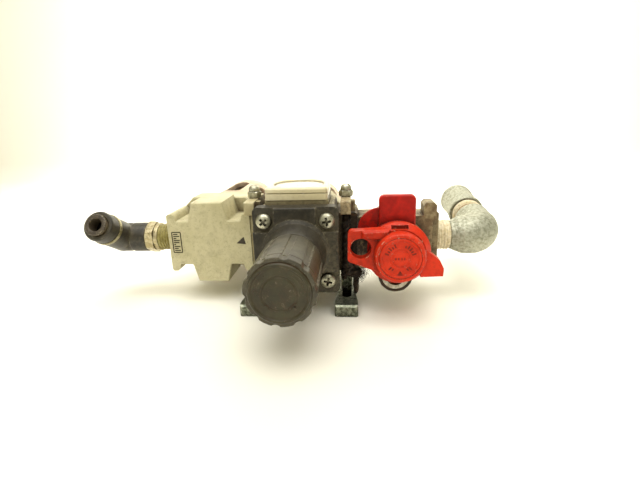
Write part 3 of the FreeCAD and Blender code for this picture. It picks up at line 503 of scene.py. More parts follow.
seal_rubber = layered("nitrile_rubber_seal", "#1a1918", "#121110", patch=3, rough=0.6, grain=0.3,
                      dirt_and_shade="#4a463e", dirt_and_shade_amount=0.3, oil=0.2)
print("thirteen plastics and rubbers")

# %% [markdown]
# ## Metals
# Hot-dip galvanised iron has a thick zinc skin: dull grey with paler crystals
# and small lumps. Zinc plate on screws and brackets is thin and bright until
# grease dulls it. Nickel-plated brass is warmer, with yellow where the plate
# has gone. A metal keeps its default index of refraction, because its colour
# already holds how it reflects.

# %% Metals
galvanised = layered("hot_dip_galvanised_iron", "#bcbcaa", "#969784", patch=1.3, rough=0.48,
                     rough_shade=0.1, metal=0.6, grain=0.6, grain_depth=0.2, dirt_and_shade="#5f573f",
                     dirt_and_shade_amount=0.4, dirt_size=1.4, specks=0.5, chip="#f2f2e8", chip_amount=0.5,
                     chip_metal=0.6, oil=0.0)
nipple_iron = layered("galvanised_pipe_thread", "#b4ac92", "#8d7a58", patch=3, metal=0.6, grain=0.7,
                      grain_depth=0.05, dirt_and_shade="#5c4529", dirt_and_shade_amount=0.6, dirt_size=1.6, oil=0.0)
# Its near-black dirt, laid by the corner mask, blackens the screws' cross recesses and slots: painted shade there,
# along with dirt.
bright_zinc = layered("bright_zinc_plate", "#cfccb8", "#a8a58e", patch=2.0, rough=0.36, metal=0.85,
                      grain=0.45, grain_depth=0.05, dirt_and_shade="#241b10", dirt_and_shade_amount=0.75, dirt_size=0.8,
                      specks=0.7, speck_size=0.4, chip="#efeddf", chip_amount=0.35, chip_metal=1.0,
                      oil=0.25, reach=2.2)
greasy_zinc = layered("greasy_zinc_plate_bracket", "#9da18d", "#5f6454", patch=1.8, rough=0.30, metal=0.9,
                      grain=0.7, grain_depth=0.12, dirt_and_shade="#16150c", dirt_and_shade_amount=0.95, dirt_size=1.1,
                      specks=0.8, speck_size=0.7, chip="#f0f0e4", chip_amount=0.6, chip_metal=1.0,
                      reach=6.0)
nickel_brass = layered("nickel_plated_brass", "#cfc3a0", "#b3a47c", patch=2.2, rough=0.34, metal=0.85,
                       grain=0.6, grain_depth=0.03, dirt_and_shade="#33230f", dirt_and_shade_amount=0.95, dirt_size=1.3,
                       specks=0.7, chip="#efe6c8", chip_amount=0.35, chip_metal=1.0, oil=0.0,
                       scratches=0.01, reach=3.0)
brass_band = layered("rolled_brass_band", "#b2a988", "#8a8263", patch=1.6, rough=0.36, metal=0.9,
                     dirt_and_shade="#2f2817", dirt_and_shade_amount=0.75, dirt_size=0.8, oil=0.0, reach=1.5)
turned_brass = layered("turned_brass", "#c2a35a", "#ab8c48", patch=5, rough=0.3, metal=1.0, grain=0.4,
                       dirt_and_shade="#5c4a26", dirt_and_shade_amount=0.3, oil=0.0, scratches=0.01)
spring_wire = layered("drawn_spring_wire", "#8f8f8c", "#7a7a78", patch=3, rough=0.32, metal=1.0, grain=0.3,
                      dirt_and_shade="#3a3a36", dirt_and_shade_amount=0.3, oil=0.0)
spool_aluminium = layered("turned_aluminium", "#c6c7c8", "#b5b6b8", patch=6, rough=0.28, metal=1.0,
                          grain=0.4, dirt_and_shade="#55524a", dirt_and_shade_amount=0.2, oil=0.0, scratches=0.01)
faced_aluminium = layered("faced_aluminium_casting", "#d9d5c6", "#c0baa6", patch=2, metal=0.5, grain=0.4,
                          dirt_and_shade="#4a3d28", dirt_and_shade_amount=0.5, dirt_size=1.0, oil=0.2, reach=1.5)
print("ten metals")

# %% [markdown]
# ## Clear plastics, tape and fibres
# The bowls are clear polycarbonate that has turned smoky with oil, and the
# gauge window is clear acrylic. Both are see-through solids with real walls,
# so light bends twice on its way in. PTFE thread tape is thin, matt and
# creamy, and picks up pipe dope where the wrench pushed it. Lint is loose
# cellulose, held by grease.

# %% Clear plastics and soft finishes


def clear(name, colour, rough, haze_colour, haze):
    """A see-through plastic with a patchy film of oil on it."""
    made = layered(name, colour, haze_colour, patch=9, rough=rough, rough_shade=0.05, grain=2.0,
                   grain_depth=0.004, dirt_and_shade=haze_colour, dirt_and_shade_amount=haze, dirt_size=5.0, oil=0.0)
    shader = made.node_tree.nodes["Principled BSDF"]
    shader.inputs["Transmission Weight"].default_value = 0.86
    shader.inputs["IOR"].default_value = 1.58
    return made


bowl_clear = clear("moulded_polycarbonate_bowl", "#b9ad88", 0.14, "#6e6040", 0.35)
lens_clear = clear("moulded_acrylic_window", "#f6f4ea", 0.05, "#c9bf9c", 0.06)
dial_paint = layered("printed_enamel_dial", "#efece0", "#e6e1d0", patch=12, rough=0.4, grain_depth=0.004,
                     dirt_and_shade="#b8ab84", dirt_and_shade_amount=0.1, oil=0.0)
print_ink = layered("screen_printed_ink", "#241c12", "#34291b", patch=1.5, grain=0.3, grain_depth=0.01,
                    dirt_and_shade="#8d8568", dirt_and_shade_amount=0.12, dirt_size=0.8, oil=0.0)
thread_tape = layered("ptfe_thread_tape", "#eadfc2", "#d8c8a0", patch=1.8, rough=0.6, grain=0.35,
                      grain_depth=0.08, dirt_and_shade="#54401f", dirt_and_shade_amount=0.55, dirt_size=1.0, specks=0.5,
                      oil=0.0, reach=2.0)
doped_tape = layered("doped_thread_tape", "#a98e64", "#7d6238", patch=1.8, grain=0.4, grain_depth=0.08,
                     dirt_and_shade="#4a3518", dirt_and_shade_amount=0.6, dirt_size=1.2, specks=0.3, oil=0.0)
thread_seal = layered("anaerobic_thread_sealant", "#a3995a", "#85783f", patch=1.6, rough=0.42,
                      grain_depth=0.08, dirt_and_shade="#3a3118", dirt_and_shade_amount=0.55, dirt_size=0.9, oil=0.0, reach=2.0)
element_fibre = layered("bonded_fibre_element", "#d9cfb0", "#c0b288", patch=5, rough=0.8, grain=0.4,
                        grain_depth=0.12, dirt_and_shade="#6b5a36", dirt_and_shade_amount=0.5, oil=0.0)
old_grease = layered("dust_caked_grease", "#2e2116", "#48361f", patch=2.4, rough=0.55, rough_shade=0.25,
                     grain=0.35, grain_depth=0.14, dirt_and_shade="#15100a", dirt_and_shade_amount=0.6, dirt_size=1.2,
                     specks=0.4, oil=0.0)
lint_fibre = layered("cotton_lint", "#3c2f1f", "#221910", patch=1.5, rough=0.9, grain=0.3, dirt_and_shade="#1c150d",
                     dirt_and_shade_amount=0.4, oil=0.0)
print("clear and soft finishes ready")

# %% [markdown]
# ## Cast bodies
# A pressure die casting comes out of a steel die, so every outer edge has a
# small radius and every face is flat or slightly tapered. The CAD already has
# the faces and the bores. A copy with its edges eased is the honest way to get
# the casting: nothing moves, and light catches the edges as on real enamel.

# %% Head, body and valve castings
CASTINGS = [("filter_head", "head_casting", 0.55, "cast_head_enamel", head_enamel),
            ("regulator_body", "body_casting", 0.45, "cast_body_enamel", body_enamel),
            ("lockout_body", "valve_casting", 0.4, "valve_enamel", valve_enamel)]
for side, finish in (("left", body_enamel), ("right", jaw_enamel)):
    CASTINGS += [(f"spacer_{side}", f"spacer_casting_{side}", 0.3, "spacer_enamel", finish),
                 (f"clamp_{side}", f"clamp_jaw_{side}", 0.4, "jaw_enamel", finish),
                 (f"bracket_{side}", f"pressed_bracket_{side}", 0.45, "bracket_zinc", greasy_zinc)]
for node, name, edge, slot, finish in CASTINGS:
    fit(eased(node, name, edge), "frame", slot, finish, node)

# %% [markdown]
# ## Marks on the filter head
# A flow arrow and a rating panel are pad-printed straight on the enamel. Here
# they say nothing: a solid triangle that points the way the air goes, and a
# thin frame with dashes in place of words. Two ejector dots are cast in.

# %% Flow arrow, dots and plate


def bars(name, a, b, width, normal, height, sunk=0.05):
    """Many small boxes in one mesh: each runs from a to b, width wide, height above its face.

    Its corners are a or b, plus or minus half the width along normal x way,
    at -sunk and +height along the normal."""
    a, b, normal = np.atleast_2d(a), np.atleast_2d(b), np.asarray(normal, float)
    way = (b - a) / np.linalg.norm(b - a, axis=1, keepdims=True)
    side = np.cross(normal, way) * width * MM / 2
    low, high = -normal * sunk * MM, normal * height * MM
    corners = np.stack([a - side + low, b - side + low, b + side + low, a + side + low,
                        a - side + high, b - side + high, b + side + high, a + side + high], 1)
    box = np.array([[3, 2, 1, 0], [4, 5, 6, 7], [0, 1, 5, 4], [1, 2, 6, 5], [2, 3, 7, 6], [3, 0, 4, 7]])
    faces = (np.arange(len(a))[:, None, None] * 8 + box).reshape(-1, 4)
    return piece(name, corners.reshape(-1, 3), faces)


HEAD_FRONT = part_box("filter_head")[0][1] / MM
t = np.linspace(0, 2 * np.pi, 24, endpoint=False)
dots = [slab(f"dot_{k}", np.stack([x + 0.55 * np.cos(t), z + 0.55 * np.sin(t)], 1),
             at(0, HEAD_FRONT + 0.1, 0), RIGHT, UP, 0.3, 0.12, 3)
        for k, (x, z) in enumerate([(-26.1, 7.3), (-35.4, 0.2)])]
fit(joined("ejector_dots", dots), "frame", "cast_head_enamel", head_enamel)
arrow_outline = soft([(-30.3, -0.2), (-25.8, -0.7), (-26.7, 3.0)], 0.25)
arrow = slab("flow_arrow", arrow_outline, at(0, HEAD_FRONT + 0.05, 0), RIGHT, UP, 0.09, 0.02, 2)
corners = np.array([[-61.4, -4.6], [-57.2, -4.6], [-57.2, 5.4], [-61.4, 5.4]])
ends = np.stack([corners[:, 0], 0 * corners[:, 0] + HEAD_FRONT, corners[:, 1]], 1)
frame_line = bars("rating_frame", at(0, 0, 0) + ends * MM, at(0, 0, 0) + np.roll(ends, -1, 0) * MM, 0.5,
                  -BACK, 0.04)
rows = np.linspace(-3.6, 4.4, 9)
long = np.array([2.9, 1.9, 2.9, 0.8, 2.6, 2.9, 1.4, 2.9, 2.2])
ends = np.stack([-60.8 + 0 * rows, 0 * rows + HEAD_FRONT, rows], 1)
dashes = bars("rating_dashes", at(0, 0, 0) + ends * MM, at(0, 0, 0) + (ends + long[:, None] * RIGHT) * MM,
              0.5, -BACK, 0.04)
fit(joined("printed_marks", [arrow, frame_line, dashes]), "frame", "pointer_paint", print_ink)

# %% [markdown]
# ## Bonnet and its screws
# The bonnet is injection-moulded in black glass-filled nylon. Four pan-head
# screws with a cross recess hold it down and clamp the diaphragm. The recess
# is cut with a boolean from two crossed bars, as the punch does it.

# %% Bonnet and cross-recess screws


def cross_cut(screw, middle, degrees, half, width, deep):
    """Cuts a cross recess: two bars at right angles, turned by degrees about the screw's Y axis."""
    turn = math.radians(degrees)
    way = math.cos(turn) * RIGHT + math.sin(turn) * UP
    arms = [d * half * MM for d in (way, np.cross(way, BACK))]
    return carved(screw, *[bars("recess", middle - arm, middle + arm, width, BACK, deep, 0.0)
                           for arm in arms])


fit(eased("bonnet", "bonnet_moulding", 0.45), "frame", "bonnet_nylon", bonnet_nylon, "bonnet")
low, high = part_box("bonnet_screws")
SCREW_SEAT = low[1] / MM + 2.6
SCREW_OFFSET = 13.6      # each screw from the knob's axis, both ways
head_profile = soft([(0, -5.0), (1.4, -5.0), (1.4, 0.0), (3.5, 0.0), (3.5, 0.9), (3.0, 1.9), (1.8, 2.5),
                     (0, 2.6)], 0.45, closed=False, steps=5)
screws = []
for k in range(4):
    x, z = SCREW_OFFSET * (-1, 1)[k % 2], SCREW_OFFSET * (-1, 1)[k // 2]
    screw = turned(f"screw_{k}", head_profile, at(x, SCREW_SEAT, z), -BACK, 48)
    screws.append(cross_cut(screw, at(x, SCREW_SEAT - 3.2, z), (28, -12, 40, 9)[k], 1.9, 1.05, 2.0))
fit(joined("bonnet_screw_heads", screws), "frame", "plated_screw", bright_zinc, "bonnet_screws")

# %% [markdown]
# ## Adjusting knob
# The knob is a moulded cup. Ten raised panels give grip, and the front flange
# has ten scallops between them. Both are a change of radius round a turned
# profile: a panel adds a smooth step, and a scallop is the arc of a cutter
# whose centre lies just outside the flange.

# %% Knob
KNOB_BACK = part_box("adjusting_knob")[1][1] / MM
KNOB_LONG = (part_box("adjusting_knob")[1][1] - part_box("adjusting_knob")[0][1]) / MM


def step_up(value, low, high):
    """Smooth step 3s^2 - 2s^3, where s goes from 0 at low to 1 at high."""
    s = np.clip((value - low) / (high - low), 0, 1)
    return s * s * (3 - 2 * s)


def spaced(profile, step):
    """The same line with points added so that no run is longer than step."""
    profile = np.asarray(profile, float)
    runs = [np.linspace(a, b, max(1, math.ceil(np.linalg.norm(b - a) / step)), endpoint=False)
            for a, b in zip(profile[:-1], profile[1:])]
    return np.vstack([*runs, profile[-1:]])


def knob_radius(r, h, t):
    """Adds 0.5 mm on each grip panel and takes the scallop 14.4 cos d - sqrt(2.4^2 - (14.4 sin d)^2)
    out of the flange, where d is the angle from the scallop's middle."""
    pitch = 2 * np.pi / 10
    from_panel = np.abs((t - math.radians(27) + pitch / 2) % pitch - pitch / 2)
    raised = step_up(-from_panel, -0.232, -0.205) * step_up(h, 1.8, 2.4) * step_up(-h, -26.3, -25.7)
    grip = 0.5 * raised * (r > 12.0) * (h < 26.4)
    d = (t - math.radians(9) + pitch / 2) % pitch - pitch / 2
    inside = np.clip(2.4 ** 2 - (14.4 * np.sin(d)) ** 2, 0, None)
    scallop = np.where(np.abs(14.4 * np.sin(d)) < 2.4, 14.4 * np.cos(d) - np.sqrt(inside), 99.0)
    return np.where((h > 26.3) & (r > 12.15), np.minimum(r, scallop - (12.7 - r)), r + grip)


outside = spaced(soft([(11.4, 0), (12.1, 0.7), (12.1, 26.3), (12.7, 26.5), (12.7, KNOB_LONG),
                       (11.15, KNOB_LONG)], 0.45, closed=False, steps=5), 0.6)
inside = [(11.1, KNOB_LONG - 1.2), (0, KNOB_LONG - 1.2)]
back_side = [(0, 27.4), (4.1, 27.4), (4.1, 16.4), (6.0, 16.4), (6.0, 27.1), (7.2, 27.1), (7.2, 16.0),
             (10.3, 14.0), (10.3, 0)]
knob = turned("knob_cup", np.vstack([back_side, outside, inside]), at(0, KNOB_BACK, 0), -BACK, 360,
              knob_radius)
fit(knob, "knob", "knob_nylon", knob_nylon, "adjusting_knob")

# %% [markdown]
# ## Knob cap
# A disc is pressed into the knob. It has a raised rim, a ring groove and a
# sunk middle field. Two curved arrows with a plus and a minus show which way
# raises the pressure. They are raised 0.15 mm, as moulded marks are.

# %% Cap with arrows
CAP_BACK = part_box("knob_cap")[1][1] / MM
cap_profile = soft([(0, 0), (11.0, 0), (11.0, 1.9), (10.5, 2.4), (9.9, 2.4), (9.5, 1.9), (6.7, 1.85),
                    (6.4, 1.55), (5.9, 1.55), (5.6, 1.85), (0, 1.85)], 0.22, closed=False, steps=4)
cap = turned("cap_disc", cap_profile, at(0, CAP_BACK, 0), -BACK, 144)


def curved_arrow(name, start, radius, middle, half, way, first, second, depth=0.22):
    """A band along an arc, with a pointed head at the end that way (+1 or -1) says.

    Its outline runs along radius + 0.3, round the head, and back along radius - 0.3."""
    a = middle + way * np.linspace(-half, half, 14)
    outer = np.stack([np.cos(a), np.sin(a)], 1) * (radius + 0.3)
    inner = np.stack([np.cos(a), np.sin(a)], 1)[::-1] * (radius - 0.3)
    tip_angle = middle + way * (half + 1.3 / radius)
    tip = np.array([[math.cos(tip_angle), math.sin(tip_angle)]]) * radius
    barb = np.array([[math.cos(a[-1]), math.sin(a[-1])]])
    outline = np.vstack([outer, barb * (radius + 0.9), tip, barb * (radius - 0.9), inner])
    return slab(name, outline, start, first, second, depth, 0.05, 2)


FACE = at(0, CAP_BACK - 1.85 + 0.07, 0)
arrows = [curved_arrow("arrow_a", FACE, 8.1, math.radians(150), 0.42, 1, RIGHT, UP),
          curved_arrow("arrow_b", FACE, 8.1, math.radians(30), 0.42, -1, RIGHT, UP)]
signs = np.array([[-1.0, 7.6], [1.0, 7.6], [-6.2, -4.6], [-4.2, -4.6], [5.2, -5.6], [5.2, -3.6],
                  [4.2, -4.6], [6.2, -4.6]])
ends = FACE + (signs @ np.array([RIGHT, UP])) * MM
plus = bars("signs", ends[::2], ends[1::2], 0.55, -BACK, 0.15)
ring = np.radians(np.arange(0, 360, 30) + 15)
spokes = np.stack([np.cos(ring), np.sin(ring)], 1) @ np.array([RIGHT, UP])
ticks = bars("ticks", FACE + spokes * 3.6 * MM, FACE + spokes * 4.9 * MM, 0.4, -BACK, 0.12)
fit(joined("knob_cap_disc", [cap, *arrows, plus, ticks]), "knob", "cap_nylon", cap_nylon, "knob_cap")

# %% [markdown]
# ## Works inside the regulator
# They hardly show, but they are real: the adjusting spring and the valve
# spring are wire wound into helices with flattened ends. A point of the wire's
# middle line at turn s is (R cos s, pitch s, R sin s), and each ring of the
# wire's skin is drawn square to that line.

# %% Springs


def coil(name, start, radius, wire, length, turns, per_turn=28, sides=12):
    """Compression spring along +Y; its pitch fades to nothing at both ends, so the ends are closed."""
    s = np.linspace(0, turns, int(turns * per_turn))
    rise = step_up(s, 0.0, 1.2) * s / turns
    rise = np.where(s > turns - 1.2, 1 - step_up(turns - s, 0.0, 1.2) * (turns - s) / turns, rise)
    h = wire + rise * (length - 2 * wire)
    a = 2 * np.pi * s
    out = np.stack([np.cos(a), 0 * a, np.sin(a)], 1)
    middle = radius * out + h[:, None] * BACK
    way = np.gradient(middle, axis=0)
    way /= np.linalg.norm(way, axis=1, keepdims=True)
    side = np.cross(way, out)
    t = np.linspace(0, 2 * np.pi, sides, endpoint=False)
    ring = middle[:, None] + wire * (np.cos(t)[:, None] * out[:, None] + np.sin(t)[:, None] * side[:, None])
    ring = np.concatenate([np.repeat(middle[:1, None], sides, 1), ring,
                           np.repeat(middle[-1:, None], sides, 1)])
    return piece(name, start + ring.reshape(-1, 3) * MM, grid_faces(len(ring), sides))


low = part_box("adjusting_spring")[0][1] / MM
fit(coil("adjusting_coil", at(0, low, 0), 7.3, 0.8, 10.2, 4.5), "frame", "spring_steel", spring_wire,
    "adjusting_spring")
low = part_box("valve_spring")[0][1] / MM
fit(coil("valve_coil", at(0, low, 0), 3.7, 0.35, 7.2, 6), "frame", "spring_steel", spring_wire,
    "valve_spring")

# %% [markdown]
# ## Gauge
# The square gauge is moulded ABS with a thin parting groove. Its dial is a
# printed disc with a tick each 0.05 and a number each 0.2, which are units of
# pressure and nothing else. The needle sits at zero.

# %% Gauge case, dial and window
fit(eased("gauge_case", "gauge_back", 0.3), "frame", "gauge_abs", gauge_abs, "gauge_case")
fit(eased("gauge_cover", "gauge_bezel", 0.3), "frame", "gauge_abs", gauge_abs, "gauge_cover")
GAUGE_AT = at(0, JOINT["pointer_swing"]["pos_m"][1] / MM, 0)
DIAL_TOP = np.array([0, 0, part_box("gauge_dial")[1][2]])
face = GAUGE_AT * [1, 1, 0] + DIAL_TOP
dial = turned("dial_disc", soft([(0, 0), (11.1, 0), (11.1, 0.5), (0, 0.5)], 0.12, closed=False),
              face - 0.5 * MM * UP, UP, 96)
fit(dial, "frame", "dial_paint", dial_paint, "gauge_dial")
f = np.arange(21) / 20
a = np.radians(225 - 270 * f)
spokes = np.stack([np.cos(a), np.sin(a), 0 * a], 1)
inner = np.where(np.arange(21) % 4 == 0, 7.9, 8.9)[:, None]
ticks = bars("dial_ticks", face + spokes * inner * MM, face + spokes * 10.1 * MM, 0.28, UP, 0.03)


def lettering(name, words, size, start, first, second, lift):
    """Flat raised letters from the built-in font, made a mesh and then put in place."""
    font = bpy.data.curves.new(name, "FONT")
    font.body, font.size, font.align_x, font.align_y = words, size, "CENTER", "CENTER"
    font.extrude, font.resolution_u = 0.03, 3
    made = linked(name, font)
    mesh = bpy.data.meshes.new_from_object(made.evaluated_get(bpy.context.evaluated_depsgraph_get()))
    bpy.data.objects.remove(made)
    points = np.zeros(len(mesh.vertices) * 3)
    mesh.vertices.foreach_get("co", points)
    turn = np.array([first, second, np.cross(first, second)])
    placed = start + points.reshape(-1, 3) @ turn * MM + np.cross(first, second) * lift * MM
    return piece(name, placed, [tuple(p.vertices) for p in mesh.polygons])


numbers = [lettering(f"number_{k}", text, 2.3, face + 6.1 * MM * spokes[4 * k], RIGHT, BACK, 0.02)
           for k, text in enumerate(["0", "0.2", "0.4", "0.6", "0.8", "1.0"])]
fit(joined("dial_scale", [ticks, *numbers]), "frame", "pointer_paint", print_ink)
fit(eased("gauge_pointer", "gauge_needle", 0.05), "pointer", "pointer_paint", print_ink, "gauge_pointer")
LENS_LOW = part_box("gauge_lens")[0][2]
window = turned("gauge_window", soft([(0, 0), (11.5, 0), (11.5, 0.7), (10.9, 0.9), (0, 0.9)], 0.15,
                                     closed=False),
                GAUGE_AT * [1, 1, 0] + LENS_LOW * UP, UP, 96)
fit(window, "frame", "lens_clear", lens_clear, "gauge_lens")

# %% [markdown]
# ## Clamp nuts and screws
# A hexagon nut and a dome screw with a slot pull each clamp jaw down on the
# spacer. The dome is a turned profile, and the slot is one bar cut from it.

# %% Clamp hardware
fit(eased("clamp_nuts", "clamp_hexagons", 0.22), "frame", "plated_screw", bright_zinc, "clamp_nuts")
low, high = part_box("clamp_screws")
dome = soft([(0, -14.0), (1.38, -14.0), (1.38, 0), (2.6, 0), (2.6, 1.2), (2.2, 2.2), (1.3, 2.75),
             (0, 2.9)], 0.4, closed=False, steps=5)
screws = []
for k, x in enumerate((low[0] / MM + 2.6, high[0] / MM - 2.6)):
    y, base = (low[1] + high[1]) / 2 / MM, high[2] / MM - PORT_Z / MM - 2.9
    screw = turned(f"dome_{k}", dome, at(x, y, base), UP, 48)
    turn = math.radians((22, -35)[k])
    way = math.cos(turn) * RIGHT + math.sin(turn) * BACK
    top = at(x, y, base + 2.0)
    screws.append(carved(screw, bars("slot", top - way * 3 * MM, top + way * 3 * MM, 0.7, UP, 2.0, 0.0)))
fit(joined("clamp_screw_heads", screws), "frame", "plated_screw", bright_zinc, "clamp_screws")

# %% [markdown]
# ## Bowls, guards and what is in them
# Each bowl is clear polycarbonate in a painted steel guard. The guard is
# deep-drawn, so it is one turned skin, and its four long windows and the
# button's hole are punched out afterwards, which is what the booleans do.

# %% Bowls and guards


def rounded_bar(name, middle, outward, length, width, reach):
    """A bar with round ends that stands outward from a bowl's axis: the punch for one window."""
    side = np.cross(BACK, outward)
    a = np.radians(np.linspace(-90, 90, 13))
    half = length / 2 - width / 2
    cap_end = np.stack([half + width / 2 * np.cos(a), width / 2 * np.sin(a)], 1)
    outline = np.vstack([cap_end, -cap_end])
    side = side * np.sign(np.dot(np.cross(BACK, side), outward))
    return slab(name, outline, middle + outward * reach[0] * MM, BACK, side, reach[1] - reach[0], 0.01, 2)


bowl_line = soft([(13.2, 14.7), (15.1, 14.7), (15.0, 16.7), (15.0, 70.0), (12.6, 77.0), (7.5, 80.0),
                  (4.2, 81.0), (4.2, 84.0), (2.55, 84.0), (2.55, 79.0), (7.0, 78.0), (11.2, 75.4),
                  (13.2, 69.6)], 1.2, steps=5)
guard_line = soft([(15.35, 15.2), (16.6, 15.2), (16.6, 21.4), (17.4, 21.4), (18.0, 22.0), (18.0, 73.0),
                   (17.0, 77.0), (12.5, 83.5), (10.5, 84.5), (7.0, 84.5), (7.0, 82.5), (11.0, 81.5),
                   (15.35, 75.0)], 0.9, steps=5)
WINDOWS = [(0, 1), (-0.7071, -0.7071), (0, -1), (0.7071, 0.7071)]
for unit, middle, button in (("filter", FILTER_X, -1), ("regulator", 0.0, 1)):
    axis_at = at(middle, 0, 0)
    fit(turned(f"{unit}_clear_bowl", bowl_line, axis_at, BACK, 96, closed=True), f"{unit}_bowl",
        "bowl_polycarbonate", bowl_clear, f"{unit}_bowl")
    shell = turned(f"{unit}_guard", spaced(guard_line, 2.5), axis_at, BACK, 128, closed=True)
    punches = [rounded_bar("punch", at(middle, 45, 0), x * RIGHT + z * UP, 30.0, 8.0, (10, 22))
               for x, z in WINDOWS]
    hole = [at(middle + button * far, 26.8, 0) for far in (14.35, 19)]
    punches.append(bars("hole", *hole, 8.4, UP, 3.7, 3.7))
    shell = carved(shell, *punches)
    rim = shell.modifiers.new("rim", "BEVEL")
    rim.width, rim.segments, rim.limit_method = 0.25 * MM, 2, "ANGLE"
    rim.angle_limit = math.radians(50)
    fit(settle(shell), f"{unit}_bowl", "guard_steel", guard_paint, f"{unit}_bowl_guard")
    fit(eased(f"{unit}_lock_button", f"{unit}_button_pad", 0.25), f"{unit}_button", "button_plastic",
        button_plastic, f"{unit}_lock_button")

# %% [markdown]
# ## Filter inserts and drains
# Air spins down past a louvred deflector, through a bonded-fibre element and
# leaves its water below the baffle. The drain cock below the bowl is knurled:
# twelve grooves, each a dip in the radius.

# %% Inserts and drains


def drain_radius(r, h, t):
    """Takes the groove 6.9 cos d - sqrt(0.7^2 - (6.9 sin d)^2) out of the wide part of the cock."""
    pitch = 2 * np.pi / 12
    d = (t + pitch / 2) % pitch - pitch / 2
    inside = np.clip(0.49 - (6.9 * np.sin(d)) ** 2, 0, None)
    groove = np.where(np.abs(6.9 * np.sin(d)) < 0.7, 6.9 * np.cos(d) - np.sqrt(inside), 99.0)
    return np.where((h > 84.2) & (r > 5.5), np.minimum(r, groove - (6.6 - r)), r)


def pleat(r, h, t):
    """Forty shallow waves round the element's outside, 0.35 mm deep."""
    return np.where(r > 8, r - 0.35 * (0.5 + 0.5 * np.cos(40 * t)), r)


for unit, middle in (("filter", FILTER_X), ("regulator", 0.0)):
    axis_at = at(middle, 0, 0)
    fit(eased(f"{unit}_deflector", f"{unit}_swirl_vanes", 0.15), "frame", "inner_acetal", inner_acetal,
        f"{unit}_deflector")
    wall = [(6.0, 24.2), (9.4, 24.2), (9.4, 57.8), (6.0, 57.8), (6.0, 24.2)]
    wall = spaced(soft(wall, 0.4, closed=False), 3.0)[:-1]
    fit(turned(f"{unit}_pleats", wall, axis_at, BACK, 240, pleat, closed=True), "frame", "element_fibre",
        element_fibre, f"{unit}_element")
    baffle = soft([(0, 24.1), (2.2, 24.1), (2.2, 58.0), (9.8, 58.0), (11.4, 61.5), (11.4, 62.4),
                   (8.6, 60.6), (2.2, 60.2), (0, 60.2)], 0.4, closed=False)
    fit(turned(f"{unit}_baffle_cone", baffle, axis_at, BACK, 72), "frame", "inner_acetal", inner_acetal,
        f"{unit}_baffle")
    a = np.linspace(0, 2 * np.pi, 20, endpoint=False)
    ring = np.stack([14.25 + 0.85 * np.cos(a), 13.78 + 0.85 * np.sin(a)], 1)
    fit(turned(f"{unit}_bowl_ring", ring, axis_at, BACK, 96, closed=True), "frame", "seal_rubber",
        seal_rubber, f"{unit}_bowl_seal")
    cock = spaced(soft([(0, 79.5), (2.48, 79.5), (2.48, 84.3), (6.6, 84.3), (6.6, 86.6), (6.0, 87.6),
                        (1.6, 87.6), (1.6, 86.0), (0, 86.0)], 0.3, closed=False), 0.8)
    fit(turned(f"{unit}_drain_knurl", cock, axis_at, BACK, 240, drain_radius), f"{unit}_drain",
        "drain_plastic", drain_plastic, f"{unit}_drain_cock")

# %% [markdown]
# ## Red lock-out parts
# The lock-out knob and its collar are moulded in red acetal. Their outlines
# are made of many blocks and arcs, which the CAD has already joined, so an
# eased copy carries the moulding's small radii. The cap disc is turned, with a
# ring and a row of short raised dashes where a maker would put words. The
# dashes are a piece of their own, because dirt has darkened them.

# %% Lock-out knob, collar and cap
fit(eased("lockout_knob", "lockout_grip", 0.55), "lockout", "red_acetal", red_acetal, "lockout_knob")
fit(eased("lockout_housing", "lockout_collar", 0.4), "frame", "red_housing", red_housing, "lockout_housing")
low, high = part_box("lockout_knob_cap")
cap_line = soft([(0, 0), (8.7, 0), (8.7, 0.9), (8.2, 1.3), (7.6, 1.3), (7.2, 0.9), (4.2, 0.9), (3.9, 0.6),
                 (3.3, 0.6), (3.0, 0.9), (0, 0.9)], 0.2, closed=False)
cap = turned("cap_turned", cap_line, at(LOCK_X, high[1] / MM, 0), -BACK, 120)
face = at(LOCK_X, high[1] / MM - 0.9, 0)
a = np.radians(np.array([20, 32, 44, 56, 68, 112, 124, 136, 148, 160, 225, 237, 303, 315]))
spokes = np.stack([np.cos(a), np.sin(a)], 1) @ np.array([RIGHT, UP])
long = np.array([1.6, 1.0, 1.6, 1.6, 1.0, 1.6, 1.0, 1.6, 1.0, 1.6, 1.6, 1.0, 1.0, 1.6])[:, None]
dashes = bars("dashes", face + spokes * 5.0 * MM, face + spokes * (5.0 + long) * MM, 0.42, -BACK, 0.16)
row = np.array([[-1.9, 0.0], [-0.7, 0.0], [0.6, 0.0], [1.7, 0.0]])
ends = face + (row @ np.array([RIGHT, UP])) * MM
marks = bars("marks", ends - 0.45 * UP * MM, ends + 0.45 * UP * MM, 0.35, -BACK, 0.14)
wedge = slab("wedge", soft([(-1.1, -7.0), (1.1, -7.0), (0, -5.2)], 0.2), face + 0.05 * MM * BACK, RIGHT, UP,
             0.22, 0.05, 2)
fit(cap, "lockout", "red_acetal", red_acetal, "lockout_knob_cap")
fit(joined("lockout_cap_marks", [dashes, marks, wedge]), "lockout", "red_acetal", grimed_red)
low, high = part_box("housing_screws")
screws = []
line = soft([(0, 0), (2.2, 0), (2.2, 1.15), (1.2, 1.15), (1.2, 4.4), (0, 4.4)], 0.25, closed=False)
for k, x in enumerate((LOCK_X - 10, LOCK_X + 10)):
    screw = turned(f"collar_{k}", line, at(x, low[1] / MM, -2.6), BACK, 40)
    screws.append(cross_cut(screw, at(x, low[1] / MM - 0.6, -2.6), (50, 15)[k], 1.2, 0.5, 1.2))
fit(joined("collar_screw_heads", screws), "frame", "plated_screw", bright_zinc, "housing_screws")

# %% [markdown]
# ## Pipe threads and tape
# A 1/4 inch taper pipe thread has 19 threads an inch, so its pitch is 1.337
# mm. Its crest winds round as a helix: the radius is a triangle wave of
# (height / pitch - angle / one turn). PTFE tape over it fills the roots and
# ends in ragged steps, which are the same helix with a wider pitch and noise.

